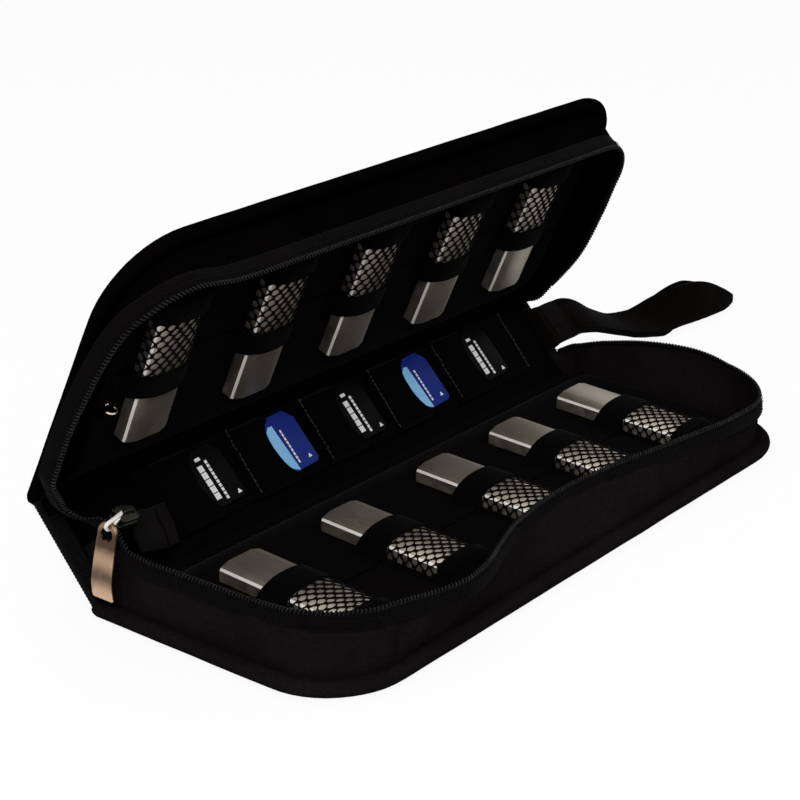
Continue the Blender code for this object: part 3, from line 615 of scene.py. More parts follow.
# A cover's section as (inset, n), from the middle of its outside over the rim to the middle of its inside
COVER_RINGS = (
    (50, 0.0), (30, 0.0), (14, 0.0), (9.4, 0.05), (8.9, 0.35), (8.5, 0.62), (8.1, 0.35), (7.6, 0.06), (5.5, 0.05),
    (3.4, 0.25), (1.9, 0.75), (0.8, 1.6), (0.2, 2.6), (0.0, 3.5), (0.25, 4.5), (0.95, 5.35), (2.0, 5.9),
    (3.2, 6.05), (4.3, 5.85), (5.1, 5.3), (6.6, 5.0), (9, 5.6), (30, 5.7), (50, 5.7))


def build_cover(lid):
    place = LIDS[lid][0]
    lower = lid == "lower"
    seed = 2.0 if lower else 9.0

    def height(x, v, inset, n):
        if n < 0.7 or inset > 4.6:
            return n
        wave = rough(x / 17, v / 17, seed) * 0.35 + rough(x / 6, v / 6, seed + 3) * 0.12
        return n + wave * (1 if n > 5 else 0.4)

    rows = [[place(x, v, height(x, v, inset, n)) for x, v in outline(inset)] for inset, n in COVER_RINGS]
    mesh = Shape(f"{lid}_cover_pad").grid(rows, NYLON_PAINTED_BY_LIGHT[lid], True, True).mesh()
    for loop in mesh.loops:
        p = mesh.vertices[loop.vertex_index].co
        mesh.uv_layers[0].data[loop.index].uv = (p.x, -p.y if lower else p.z)
    cover = slotted(link_object(f"{lid}_cover_pad", mesh), "nylon", f"{lid}_lid", f"{lid}_cover")
    shape = Shape(f"{lid}_cover_stitching")
    even = curve_through([place(x, v, 0.28) for x, v in outline(8.5)], 440, True)
    for i in range(0, 438, 3):
        shape.stitch(even[i:i + 3], 0.22)
    slotted(shape.build(), "nylon", f"{lid}_lid")


for lid in LIDS:
    build_cover(lid)

# The gusset walls and the zip halves, from where the near cloths end to where the far ones start
SPLIT = {"lower": 0.0525, "upper": 0.0265}
END = 0.985
for lid, split in SPLIT.items():
    wall = link_object(f"{lid}_wall", sheet_mesh(wall_rows(lid, split, END), NYLON_PAINTED_BY_LIGHT[lid], CLOTH))
    slotted(wall, "nylon", f"{lid}_lid", f"{lid}_gusset")
    place = LIDS[lid][0]
    shares = steps(split, END, 520)
    out = [wall_place(share)[2:] for share in shares]
    run = zip_run(
        f"{lid}_zip_half", [wall_top(lid, share) for share in shares],
        [(place(ox, ov, 0) - place(0, 0, 0)).normalized() for ox, ov in out],
        [(place(0, 0, 1) - place(0, 0, 0)).normalized()] * len(shares))
    slotted(run, "zip coil", f"{lid}_lid", f"{lid}_zip")

# The hinges: the bodies on their two sides and their place
LOWER_HINGE = (("lower_lid", "spine"), low(0, 0, HINGE_HEIGHT))
UPPER_HINGE = (("spine", "upper_lid"), spine(0, HINGE_PITCH, 0))
UPPER_WAY = (0, 0.0942, 0.9956)


def blended(piece, slot, hinge, way, first, last):
    """Bakes a piece's placement into its mesh."""
    bodies, place = hinge
    way = Vector(way) * MM
    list(bodies)
    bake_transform(piece)


# The cloth at the spine's ends, which joins the walls across the hinges
def end_cloth(lid, end, foot, top, node_name, seed, teeth=(0, 1)):
    """Cloth from a line on the board and the lid up to the zip; teeth is the part that has a zip."""
    name = f"{lid}_{end}_cloth"
    across = (LOWER_HINGE, (0, 0.75, 0.66), -8, 12) if lid == "lower" else (UPPER_HINGE, UPPER_WAY, -8, 8)
    count = 46
    rows, edge, upward = [], [], []
    tape = TAPE_DEPTH
    for i, (b, t) in enumerate(zip(curve_through(foot, count), curve_through(top, count))):
        rise = (t - b).normalized()
        stop = t - rise * (ZIP_DROP * MM)
        calm = math.sin(math.pi * i / count)
        tape = min(tape, (t - b).length / MM - 0.6)
        row = []
        for s in steps(0, 1, 12):
            fold = rough(i / 7, s * 1.6, seed) * 0.9 + rough(i / 3, s * 2.5, seed + 4) * 0.35
            p = b.lerp(stop, s)
            p.x = b.x + (stop.x - b.x) * smooth(s) + fold * calm * math.sin(math.pi * s) * MM
            row.append(p)
        rows.append(row)
        edge.append(t)
        upward.append(Vector((0, rise.y, rise.z)).normalized())
    cloth = link_object(name, sheet_mesh(rows, NYLON_PAINTED_BY_LIGHT[lid], CLOTH))
    first, last = (round(count * part) for part in teeth)
    part = slice(first, last + 1)
    outward = [Vector((-1 if end == "near" else 1, 0, 0))] * len(edge)
    run = zip_run(name + "_zip", edge[part], outward[part], upward[part], tape)
    blended(cloth, "nylon", *across)
    blended(run, "zip coil", *across)
    if node_name:
        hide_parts(node_name)


SLIDER_END = Vector((-127.2, -5.6, 32.9)) * MM
NEAR_MIDDLE = spine(-126.4, 21, 1.2)
FAR_MIDDLE = spine(126.4, 21, 1.2)
FAR_TOP = spine(127.4, 21, 2.8)
end_cloth(
    "lower", "near",
    [low(-128.85, 32, 5), low(-128.85, 18, 5), low(-128.85, 7, 5), low(-128.5, 1.5, 5.4),
     spine(-127.6, 4.5, 1.3), spine(-126.8, 12, 1.2), NEAR_MIDDLE],
    [wall_top("lower", SPLIT["lower"]), low(-129.3, 22.8, 25.7), low(-129.8, 14.2, 26.9),
     low(-129.6, 11.3, 28.9), low(-128.8, 8.3, 31.2), SLIDER_END],
    "near_gusset_end", 1.0)
end_cloth(
    "upper", "near",
    [NEAR_MIDDLE, spine(-126.7, 32, 1.2), spine(-127.4, 39.5, 1.3), up(-128.4, 1.5, 5.4), up(-128.85, 7, 5),
     up(-128.85, 14, 5), wall_point("upper", SPLIT["upper"], 5, 0)],
    [SLIDER_END, spine(-130, 24.2, 21.8), up(-133, 11.3, 25.5), up(-135.2, 11.6, 22.6), up(-137.3, 13.3, 20.5),
     up(-139.6, 17.0, 19.2), wall_top("upper", SPLIT["upper"])],
    None, 5.0)
end_cloth(
    "lower", "far",
    [wall_point("lower", END, 5, 0), low(128.85, 7, 5), low(128.5, 1.5, 5.4), spine(127.6, 4.5, 1.3),
     spine(126.8, 12, 1.2), FAR_MIDDLE],
    [wall_top("lower", END), low(129, 13.2, 22.5), low(129, 8.2, 20.9), low(129, 3.2, 19.5), low(129, -0.6, 17.6),
     spine(128.6, 12.4, 6.0), spine(128, 15, 3.6), FAR_TOP],
    "far_gusset_end", 8.0, (0, 0.70))
end_cloth(
    "upper", "far",
    [FAR_MIDDLE, spine(126.7, 32, 1.2), spine(127.4, 39.5, 1.3), up(128.4, 1.5, 5.4), up(128.85, 7, 5),
     wall_point("upper", END, 5, 0)],
    [FAR_TOP, spine(127.8, 29, 2.8), spine(128.4, 35.0, 3.2), spine(129, 37.0, 4.6), spine(129, 35.6, 8.6),
     spine(129, 35.0, 12.8), wall_top("upper", END)],
    None, 12.0, (0.45, 1))

# The webbing's root, sewn down over the spine's far end
root = []
for t in steps(0, 1, 10):
    line = [spine(125.5, 14.0 + 19.5 * t, 3.4), spine(130.0, 14.0 + 19.0 * t, 4.9),
            Vector((133.9, 5.98 + 12.04 * t, 17.3 + 13.4 * t)) * MM,
            Vector((138.2, 7.1 + 12.3 * t, 16.7 + 13.2 * t)) * MM]
    root.append(curve_through(line, 14))
slotted(Shape("strap_root").sheet(root, WEBBING, 1.4).build(), "webbing", "spine")


# The spine: ribbed cloth over a board, and the folds at both hinges
def rib(h):
    return 0.22 * math.sin(math.tau * h / 1.2)


def spine_ring(x, squeeze):
    """Round the board at x; squeeze below 1 draws the ring in at the board's ends."""
    waver = rough(x / 23, 0.0, 4.0) * 0.25
    ring = [(h, -1.35 - rib(h) + waver * math.sin(math.pi * (h - 2.6) / 38.8) * 0.5) for h in steps(2.6, 41.4, 194)]
    ring += [(h, 1.35 + rib(h)) for h in steps(41.4, 2.6, 194)]
    return [spine(x, h, m * squeeze) for h, m in ring]


ends = ((133.9, 0.25), (133.7, 0.7), (133.2, 1.0))
stations = [(-x, k) for x, k in ends] + [(x, 1.0) for x in steps(-132, 132, 40)] + list(ends[::-1])
ribbed = Shape("spine_ribbed_cover").grid([spine_ring(*station) for station in stations], RIBBED, True, True)
slotted(ribbed.build(60), "nylon", "spine", "spine_cover")

inside = [[spine(x, h, 1.95 + rough(x / 11, h / 8, 27.0) * 0.12) for h in steps(4.6, 39.4, 16)]
          for x in steps(-127.5, 127.5, 90)]
slotted(Shape("spine_lining").sheet(inside, LINING, 0.5).build(), "lining", "spine")


def hinge_fold(name, path, across, thickness=0.8, material=RIBBED):
    """Cloth across a hinge: path gives low, spine or up, then the distance and the height in its terms."""
    rows = []
    for x in steps(-132.4, 132.4, 70):
        line = curve_through([place(x, a, b) for place, a, b in path], 16)
        waver = rough(x / 19, 3.0, len(name)) * 0.25 * MM
        rows.append([p + Vector((0, 0.3, 1)) * waver * math.sin(math.pi * k / 16) for k, p in enumerate(line)])
    blended(link_object(name, sheet_mesh(rows, material, thickness)), "nylon", *across)


hinge_fold(
    "lower_inner_fold",
    ((low, 8, 5.2), (low, 4.5, 5.6), (low, 1.4, 6.2), (spine, 2.6, 2.0), (spine, 6, 1.5), (spine, 9, 1.2)),
    (LOWER_HINGE, (0, 0.906, 0.4225), -5, 5), 0.7, LINING)
hinge_fold(
    "lower_outer_fold",
    ((low, -1.6, 0.6), (low, -2.9, 1.6), (low, -3.6, 3.2), (spine, 3.2, -1.9), (spine, 6, -1.7), (spine, 9, -1.2)),
    (LOWER_HINGE, (0, 0.6, 0.8), -2.5, 4.5))
hinge_fold(
    "upper_inner_fold",
    ((spine, 35, 1.2), (spine, 38, 1.5), (spine, 41.4, 2.0), (up, 1.4, 6.2), (up, 4.5, 5.6), (up, 8, 5.2)),
    (UPPER_HINGE, UPPER_WAY, -5, 5), 0.7, LINING)
hinge_fold(
    "upper_outer_fold",
    ((spine, 35, -1.2), (spine, 38, -1.7), (spine, 40.8, -1.9), (up, -3.6, 3.2), (up, -2.9, 1.6), (up, -1.6, 0.6)),
    (UPPER_HINGE, UPPER_WAY, -4.5, 2.5))


# The linings
def lining_top(v):
    """Height of the padding's top over the cover's inner face, along v."""
    if v < 16:
        return 1.0 + 3.6 * smooth((v - 6) / 8)
    return 4.6 - 4.0 * min(max((v - 24) / 64, 0), 1)


def build_lining(lid):
    seed = 21.0 if lid == "lower" else 33.0
    rows = []
    for inset, part in ((0, 0.0), (0.05, 0.45), (0.5, 0.8), (1.4, 0.96), (3, 1), (6, 1), (11, 1), (17, 1),
                        (24, 1), (31, 1), (38, 1), (44, 1)):
        row = []
        for x, v in outline(inset, 6.0, HALF - 9, DEPTH - 9, 21.0, 3.0):
            swell = rough(x / 15, v / 12, seed) * 0.35 + rough(x / 5, v / 5, seed + 2) * 0.12
            n = 5.9 + (lining_top(v) + 0.35) * part + swell * smooth(inset / 6) - 0.35 * smooth(inset / 3)
            row.append(LIDS[lid][0](x, v, n))
        rows.append(row)
    shape = Shape(f"{lid}_lining_pad").grid(rows, LINING, True, True)
    piece = slotted(shape.build(), "lining", f"{lid}_lid", f"{lid}_lining")


for lid in LIDS:
    build_lining(lid)


# The usb sticks with their bands and nets, in the slope's own x, y and z
SLOPE_V, SLOPE_N = 24, 10.9
BAND_START = 23.4
NET_SPAN = 33.4
NET_PITCH = 4.3


def slope(lid, x, y, z):
    """y along the slope from its highest line, z off it, as a place."""
    c, s = math.cos(SLOPE), math.sin(SLOPE)
    return LIDS[lid][0](x, SLOPE_V + y * c + z * s, SLOPE_N - y * s + z * c)


STICK_HALF = 9.7
STICK_MIDDLE = 3.2
STICK_SECTION = [(-9.7, 0.5), (-9.2, 0.0), (9.2, 0.0), (9.7, 0.5), (9.7, 4.35), (9.05, 5.15), (5.3, 6.4),
                 (-5.3, 6.4), (-9.05, 5.15), (-9.7, 4.35)]


def stick_mesh():
    """A stick along y with a hollow for its plug at its far end, and facets along its top's sides coloured bright
    as a painted highlight.
    """
    rows = []
    for y, inset in ((0.0, 0.30), (0.10, 0.10), (0.30, 0.0), (56.1, 0.0), (56.3, 0.10), (56.4, 0.30)):
        wide, high = 1 - inset / STICK_HALF, 1 - inset / STICK_MIDDLE
        rows.append([Vector((x * wide, y, STICK_MIDDLE + (z - STICK_MIDDLE) * high)) * MM
                     for x, z in STICK_SECTION])
    body = Shape("stick").grid(rows, STICK, True, True).mesh(30)
    cutter = bpy.data.meshes.new("cutter")
    work = bmesh.new()
    bmesh.ops.create_cube(work, size=1.0)
    for vertex in work.verts:
        vertex.co = Vector((vertex.co.x * 12.6, 51.9 + vertex.co.y * 9.8, 3.6 + vertex.co.z * 3.2)) * MM
    work.to_mesh(cutter)
    work.free()
    tool = link_object("cutter", cutter)
    body = changed(body, "BOOLEAN", 30, object=tool, operation="DIFFERENCE", solver="EXACT")
    bpy.data.objects.remove(tool, do_unlink=True)
    body.materials.clear()
    for material in (STICK, PLUG, PAINTED_HIGHLIGHT):
        body.materials.append(material)
    for face in body.polygons:
        c = face.center / MM
        if abs(c.x) < 6.31 and 46.8 < c.y < 56.1 and 1.9 < c.z < 5.3:
            face.material_index = 1
        # The facets along the top's long arrises take the painted highlight.
        elif 9.1 < abs(c.x) < 9.69 and 4.4 < c.z < 5.1 and abs(face.normal.y) < 0.3:
            face.material_index = 2
    return body


def band_rows(lid, x0, width):
    path = [(-16.6, 0.5), (-15.6, 0.7), (-14.2, 1.7), (-12.6, 3.2), (-11.3, 4.5), (-10.3, 5.35), (-9.2, 5.95),
            (-7.4, 6.7), (-5.2, 7.4), (-2.6, 7.7), (0, 7.8)]
    path += [(-x, z) for x, z in path[-2::-1]]
    rows = []
    for y in steps(0, width, 12):
        row = []
        for x, z in path:
            middle = 1 - (x / 16.6) ** 2
            lift = 0.12 * math.sin(math.pi * y / width) * middle
            row.append(slope(lid, x0 + x, BAND_START + y + 0.6 * middle, z + lift))
        rows.append(row)
    return rows


def net_path(u):
    """Place across the net, x and z, at u millimetres from its left foot."""
    points = [(-11.4, 0.5), (-10.6, 1.1), (-10.4, 3.0), (-10.3, 5.0), (-8.9, 5.95), (-5.2, 7.15), (0, 7.35),
              (5.2, 7.15), (8.9, 5.95), (10.3, 5.0), (10.4, 3.0), (10.6, 1.1), (11.4, 0.5)]
    for a, b in zip(points, points[1:]):
        step = math.dist(a, b)
        if u <= step:
            return a[0] + (b[0] - a[0]) * u / step, a[1] + (b[1] - a[1]) * u / step
        u -= step
    return points[-1]


def net_mesh(lid, x0, y0, length):
    """A diamond net: every cell a ring from its diamond to a rounded hole, joined at shared vertices."""
    shape = Shape("net")
    kind = shape.kind(NET)
    columns, rows = (round(size / NET_PITCH * 2) for size in (NET_SPAN, length))
    du, dw = NET_SPAN / columns, length / rows
    sides = 16
    index = {}

    def vertex(u, w):
        u, w = min(max(u, 0), NET_SPAN), min(max(w, 0), length)
        key = (round(u, 3), round(w, 3))
        if key not in index:
            x, z = net_path(u)
            sag = 0.25 * math.sin(math.pi * w / length) if z > 6 else 0
            index[key] = len(shape.verts)
            shape.verts.append(slope(lid, x0 + x, y0 + w, z - sag))
        return index[key]

    for cu, cw in ((i * du, j * dw) for i in range(columns + 1) for j in range(i % 2, rows + 1, 2)):
        outer, inner = [], []
        for k in range(sides):
            a = math.tau * k / sides
            c, s = math.cos(a), math.sin(a)
            reach = 1 / (abs(c) + abs(s))
            hole = min(1 / math.hypot(c / 0.80, s / 0.62), reach * 0.90)
            for ring, size in ((outer, reach), (inner, hole)):
                ring.append(vertex(cu + du * c * size, cw + dw * s * size))
        for k in range(sides):
            m = (k + 1) % sides
            face = tuple(dict.fromkeys((outer[k], outer[m], inner[m], inner[k])))
            if len(face) > 2:
                shape.faces.append(face)
                shape.uvs += [(cu * MM, cw * MM)] * len(face)
                shape.kinds.append(kind)
    return changed(shape.mesh(), "SOLIDIFY", 60, thickness=0.42 * MM, offset=0.0)


def build_runs(lid):
    """The elastic between the sticks, sewn flat to the lining."""
    xs, _, width, _ = STICKS[lid]
    shape = Shape(f"{lid}_elastic_runs")
    for start, end in zip([xs[0] - 18] + [x + 15.2 for x in xs], [x - 15.2 for x in xs] + [xs[-1] + 18]):
        rows = [[slope(lid, x, BAND_START + y, 0.36 + rough(x / 6, y / 9, 15.0) * 0.12) for y in steps(0, width, 8)]
                for x in steps(start, end, 12)]
        shape.sheet(rows, LINING, 0.35)
    slotted(shape.build(), "elastic", f"{lid}_lid")


def build_sticks(lid):
    xs, standouts, width, length = STICKS[lid]
    net_start = BAND_START + width
    far = net_start + length
    # The elastic past the net: its first rows are the pocket's real hem; the rest close down over the stick's far
    # end, a dark sheet of painted shade put where the pocket's open mouth lies in shade.
    hem_and_shade_rows = ((far, 0.0), (far + 0.9, -0.25), ((far + 61) / 2, -0.1), (60.6, 0.0), (61.5, 0.5), (62.3, 2.2),
                (62.6, 4.4), (62.7, 6.4))
    body_mesh = stick_mesh()
    off = slope(lid, 0, 0, 0.12) - slope(lid, 0, 0, 0)
    for n, (x, out) in enumerate(zip(xs, standouts), 1):
        mesh = body_mesh.copy()
        for vertex in mesh.vertices:
            p = vertex.co / MM
            vertex.co = slope(lid, x + p.x, 3.7 + out + p.y, 0.3 + p.z)
        tidy(mesh, 30)
        stick = link_object(f"stick_{lid}_{n}", mesh)
        slotted(stick, "stick metal", f"stick_{lid}_{n}", f"usb_stick_{lid}_{n}")
        band = Shape(f"band_{lid}_{n}").sheet(band_rows(lid, x, width), ELASTIC, 0.8)
        for side in (-1, 1):
            for k in range(4):
                a, b = (slope(lid, x + side * 16.2, 24.1 + k * (width - 0.4) / 4 + d, 1.0) for d in (0, 1.4))
                band.stitch([a, (a + b) / 2 + off, b], 0.17)
        slotted(band.build(), "elastic", f"{lid}_lid", f"elastic_band_{lid}_{n}")
        net = Shape(f"net_{lid}_{n}").take(net_mesh(lid, x, net_start, length))
        hem_and_painted_shade = [[slope(lid, x + px * (1.035 - 0.02 * max(drop, 0)), y, max(pz - drop + 0.45, 0.45))
                for px, pz in (net_path(u) for u in steps(0, NET_SPAN, 36))] for y, drop in hem_and_shade_rows]
        net.sheet(hem_and_painted_shade, ELASTIC, 0.7)
        net.tube(hem_and_painted_shade[0], 0.6, ELASTIC)
        net.tube(hem_and_painted_shade[3], 0.35, ELASTIC)
        edge = [slope(lid, x + px, net_start, pz) for px, pz in (net_path(u) for u in steps(0, NET_SPAN, 40))]
        net.tube(edge, 0.5, ELASTIC)
        slotted(net.build(60), "net", f"{lid}_lid", f"mesh_pocket_{lid}_{n}")


for lid in LIDS:
    build_runs(lid)
for lid in LIDS:
    build_sticks(lid)


# The card strip, its seams, the cards and their sleeves, in the spine's own x, h and m
def build_strip():
    end, length = 112, 210
    rows = []
    for x in steps(end - length, end, 120):
        row = []
        for t in steps(0, 1, 14):
            h = 10.6 + 26 * t
            m = 3.1 + rough(x / 9, h / 7, 50.0) * 0.3 * math.sin(math.pi * t)
            row.append(spine(end - (end - x) * (length - 7 * (1 - t)) / length, h, m))
        rows.append(row)
    strip = Shape("card_strip_cloth").sheet(rows, SATIN, 1.5)
    for h, start in ((11.0, -90), (36.2, -96)):
        line = [spine(x, h + rough(x / 11, h, 3.0) * 0.2, 3.2) for x in steps(start, 111.5, 130)]
        strip.tube(line, 0.9, SATIN)
    for h in (12.3, 35.0):
        for x in steps(-92, 109, 92):
            strip.stitch([spine(x, h, 4.0), spine(x + 0.7, h, 4.12), spine(x + 1.4, h, 4.0)], 0.14)
    slotted(strip.build(), "lining", "spine", "card_strip")


def build_seams():
    """Uneven hand stitches, on each following sleeve's start and at the strip's far end."""
    seams = Shape("card_strip_seams")
    for i, x0 in enumerate((-52.3, -14.0, 24.3, 62.6, 109.1)):
        top = 6.2 if i < 4 else 4.2
        h = 11.4
        k = 0
        while h < 36.0:
            size = 1.5 + 0.8 * rough(i * 3.3, h, 7.0)
            a, b, c = (x0 + rough(i * 7.1, h / 3 + d, 11.0) * 0.55 for d in (0, 0.4, 0.8))
            width = 0.24 + 0.12 * rough(i * 5.0, h, 2.0)
            seams.tube([spine(a, h, top), spine(b, h + size / 2, top + 0.25), spine(c, h + size, top)],
                       width, THREAD, sides=5)
            if k % 5 == 2:
                end = spine(x0 + 0.8 * rough(h, i, 1.0), h + 0.9, top + 0.8)
                seams.stitch([spine(x0, h, top), end], 0.11, THREAD)
            h += size + 0.5
            k += 1
    slotted(seams.build(), "lining", "spine")


def notch(h):
    """How far the sleeve's open edge draws back at h from its middle."""
    return 4.9 * math.sqrt(max(0, 1 - (h / 11.2) ** 2))


FIRST_CARD, CARD_STEP, CARD_MIDDLE = -90.2, 38.3, 23.6


def build_card(n):
    x0 = FIRST_CARD + CARD_STEP * (n - 1)
    blue = n % 2 == 0

    def place(x, h, m):
        """In the card's own terms, slightly askew in its sleeve."""
        return spine(x0 + 0.6 + x - 0.05 * h, CARD_MIDDLE + h + 0.05 * (x - 16), m)

    edge = [(0, -11), (29.6, -11), (31, -9.6), (31, 7.5), (27.4, 11.6), (0, 11.6)]
    rings = [[place(x, h, m) for x, h in edge] for m in (4.3, 6.4)]
    card = Shape(f"card_{n}_body").take(block(rings, BLUE_CARD if blue else CARD, 0.28))

    def flat(points, material=WHITE):
        card.plate([place(x, h, 6.44) for x, h in points], material)

    def bar(x, h0, h1, half, cuts):
        """A row of plain blocks from h0 up to h1."""
        size = (h1 - h0) / cuts
        gap = 0.175
        for k in range(cuts):
            a, b = h0 + k * size + gap, h0 + (k + 1) * size - gap
            flat([(x - half, a), (x + half, a), (x + half, b), (x - half, b)])

    if blue:
        flat([(19.6, -10.8), (17.4, -9.6), (14.9, -7), (13.6, -4), (13.0, 0), (13.7, 4), (15.0, 6.4), (17.2, 8.2),
              (19.2, 8.0), (20.0, -10.8)], LIGHT_BLUE)
        bar(21.5, -8.6, 5.6, 0.42, 9)
        flat([(26.6, -8.4), (28.4, -8.4), (27.5, -6.8)])
    else:
        bar(18.8, -8.2, 5.6, 1.25, 5)
        bar(22.4, -9.4, 6.6, 0.6, 10)
        bar(19.6, 7.0, 8.6, 1.3, 1)
        flat([(27.4, -9.4), (29.4, -9.4), (28.4, -7.6)])
    slotted(card.build(), "blue card" if blue else "black card", f"card_{n}", f"memory_card_{n}")

    start, half = -1.4, 13.6
    rows = []
    for h in steps(-half, half, 44):
        reach = 19.2 - notch(h + 0.6) - 0.10 * h - start
        row = []
        for t in steps(0, 1, 16):
            x = start + reach * t
            swell = smooth((half - abs(h)) / 1.5) * smooth((x - start) / 1.6)
            m = 4.1 + (2.75 + rough((x0 + x) / 7, h / 6, 61.0) * 0.2) * swell
            row.append(spine(x0 + x, CARD_MIDDLE + h, m + 0.12 * math.sin(math.pi * t)))
        rows.append(row)
    sleeve = Shape(f"card_sleeve_{n}").sheet(rows, SATIN, 0.45)
    sleeve.tube([row[-1] for row in rows], 0.34, SATIN)
    slotted(sleeve.build(), "lining", "spine", f"card_pocket_{n}")


build_strip()
build_seams()
for n in range(1, 6):
    build_card(n)

# The end of the zip's tape, lying over the spine
TAPE_LINE = ((-120.0, 15.6, 20.5), (-113.8, 15.3, 17.2), (-107.5, 15.3, 12.6), (-102.0, 15.4, 8.6),
             (-97.0, 15.6, 6.2), (-93.0, 15.7, 5.3))
rows = []
for t, p in zip(steps(0, 1, 9), curve_through([Vector(v) for v in TAPE_LINE], 9)):
    row = []
    for u in steps(0, 1, 10):
        curl = 0.5 * math.sin(math.tau * u) * math.sin(math.pi * t) + 0.35 * rough(t * 3, u * 2, 9.0)
        row.append(spine(p.x + 2.6 * (u - 0.5) + 0.5 * math.sin(math.pi * u) * t,
                         p.y + (u - 0.5) * (13.0 + 0.8 * t), p.z + curl))
    rows.append(row)
tape_end = Shape("zip_tape_end_cloth").sheet(rows, PALE_TAPE, 1.0)
for u in (0, 10):
    tape_end.tube([row[u] for row in rows], 0.6, PALE_TAPE)
tape_end.tube([p + Vector((0, -0.766, 0.6428)) * (0.5 * MM) for p in rows[7]], 0.55, TAPE)
slotted(tape_end.build(), "nylon", "spine", "zip_tape_end")


# The wrist strap: one webbing out and back, turned on its edge where its loop opens
def build_loop():
    count = 90
    given = [Vector(row[:3]) for row in STRAP]
    line = curve_through([p * MM for p in given], count)
    share = lengths(given)
    way = lengths(line)
    out, back = [], []
    for i, p in enumerate(line):
        k, t = along_line(share, way[i] / way[-1] * share[-1], 0)
        angle, gap, wide = (STRAP[k][n] + (STRAP[k + 1][n] - STRAP[k][n]) * t for n in (3, 4, 5))
        across = Vector((0, math.cos(math.radians(angle)), math.sin(math.radians(angle))))
        along = (line[min(i + 1, count)] - line[max(i - 1, 0)]).normalized()
        across = (across - along * across.dot(along)).normalized()
        normal = along.cross(across)
        for layer, side in ((out, 1), (back, -1)):
            layer.append([p + across * (9.0 * wide * w * MM) + normal * (side * (gap + 0.25 * (1 - w * w)) * MM)
                          for w in steps(-1, 1, 14)])
    middle = [(a + b) / 2 for a, b in zip(out[-1], back[-1])]
    reach = (line[-1] - line[-2]).normalized()
    turn = []
    for k in range(1, 8):
        c, s = math.cos(math.pi * k / 8), math.sin(math.pi * k / 8)
        turn.append([m + (a - m) * c + reach * ((a - m).length * 1.1 * s) for a, m in zip(out[-1], middle)])
    rows = out + turn + back[::-1]
    for row in rows:
        for v in row:
            v.z = max(v.z, 0.9 * MM)
    strap = Shape("wrist_strap_loop").sheet(rows, WEBBING, 1.3)
    for w in (1, 13):
        for k in range(2, len(rows) - 3, 2):
            a, b = rows[k][w], rows[k + 1][w]
            normal = (rows[k][7] - rows[k][0]).cross(rows[k + 1][7] - rows[k][7]).normalized()
            for lift in (0.75, -0.75):
                strap.stitch([a.lerp(b, part) + normal * (lift * MM) for part in (0.15, 0.9)], 0.13)
    slotted(strap.build(), "webbing", "strap", "wrist_strap")


build_loop()


# The slider, its link and the pull tab
def rounded(width, length, radius, count=6):
    """Points round a rectangle with round corners, u across and w along."""
    u, w = width / 2 - radius, length / 2 - radius
    return corners(((u, w, radius, 0), (-u, w, radius, 90), (-u, -w, radius, 180), (u, -w, radius, 270)), count)


SLIDER_AT = Vector((-123.4, -5.4, 35.0)) * MM
ALONG = Vector((1, 0.10, -0.22)).normalized()
ACROSS = Vector((0, 0.78, 0.62))
ACROSS = (ACROSS - ALONG * ACROSS.dot(ALONG)).normalized()
OVER = ALONG.cross(ACROSS)


def slider_place(w, u, t):
    """Along the zip, across it and up off it, in millimetres."""
    return SLIDER_AT + (ALONG * w + ACROSS * u + OVER * t) * MM


def build_slider():
    """Two plates that narrow to the teeth's side, with a post, side flanges and a crown for the link."""
    shape = Shape("zip_slider_body")
    plan = [(w, u * (1 - 0.20 * smooth((w + 1) / 5))) for u, w in rounded(6.6, 8.6, 1.7)]
    for heights in ((0.9, 2.0), (-2.0, -0.9)):
        shape.take(block([[slider_place(w, u, t) for w, u in plan] for t in heights], GUNMETAL, 0.25))
    post = [[slider_place(-2.4 + w, u, t) for u, w in rounded(1.8, 2.6, 0.8)] for t in (-1.2, 1.2)]
    shape.take(Shape("post").grid(post, GUNMETAL, True, True).mesh())
    for side in (-1, 1):
        flange = [slider_place(w, side * (3.05 - 0.55 * smooth((w + 1) / 5)), 0.0) for w in steps(-3.0, 3.4, 8)]
        shape.tube(flange, 0.55, GUNMETAL, sides=8)
    arch = [math.sin(math.pi * k / 10) for k in range(11)]
    crown = [slider_place(w, 0, 1.9 + 1.5 * a) for a, w in zip(arch, steps(-3.6, 2.6, 10))]
    shape.tube(crown, [0.75 - 0.2 * a for a in arch], GUNMETAL, sides=10)
    slotted(shape.build(), "bronze", "slider", "zip_slider")


build_slider()

HOOK = Vector((-131.15, -6.467, 35.318)) * MM
TAB_LEAN = math.radians(13.5)
DOWN = Vector((-math.sin(TAB_LEAN), 0, -math.cos(TAB_LEAN)))
WIDE = Vector((0, 1, 0))
OUT = Vector((DOWN.z, 0, -DOWN.x))


def tab_place(u, d, t):
    """Across the tab, down from the hook and out from its face, in millimetres."""
    return HOOK + (WIDE * u + DOWN * d + OUT * t) * MM


def build_link():
    start = slider_place(-2.8, 0.2, 2.3)
    halfway = [start.lerp(tab_place(-1.4, -0.6, side), 0.5) for side in (1.5, -1.5)]
    points = [start, halfway[0] + OVER * (0.3 * MM), tab_place(-1.2, -0.8, 1.5), tab_place(-0.4, 0.6, 1.5),
              tab_place(0.0, 1.7, 0.0), tab_place(-0.4, 0.6, -1.5), tab_place(-1.2, -0.8, -1.5),
              halfway[1] - OVER * (0.2 * MM), start - OVER * (0.9 * MM)]
    # The wire's bright colour is a painted highlight.
    link = Shape("pull_link_wire").tube(curve_through(points, 60), 0.72, PAINTED_HIGHLIGHT, sides=8)
    slotted(link.build(), "bronze", "slider", "pull_link")


build_link()


def even_round(points, count):
    """The same closed line with points at even steps, corners kept."""
    line = [Vector((u, d, 0)) for u, d in points + points[:1]]
    way = lengths(line)
    found = []
    k = 0
    for i in range(count):
        k, t = along_line(way, way[-1] * i / count, k)
        found.append(line[k].lerp(line[k + 1], t).to_2d())
    return found


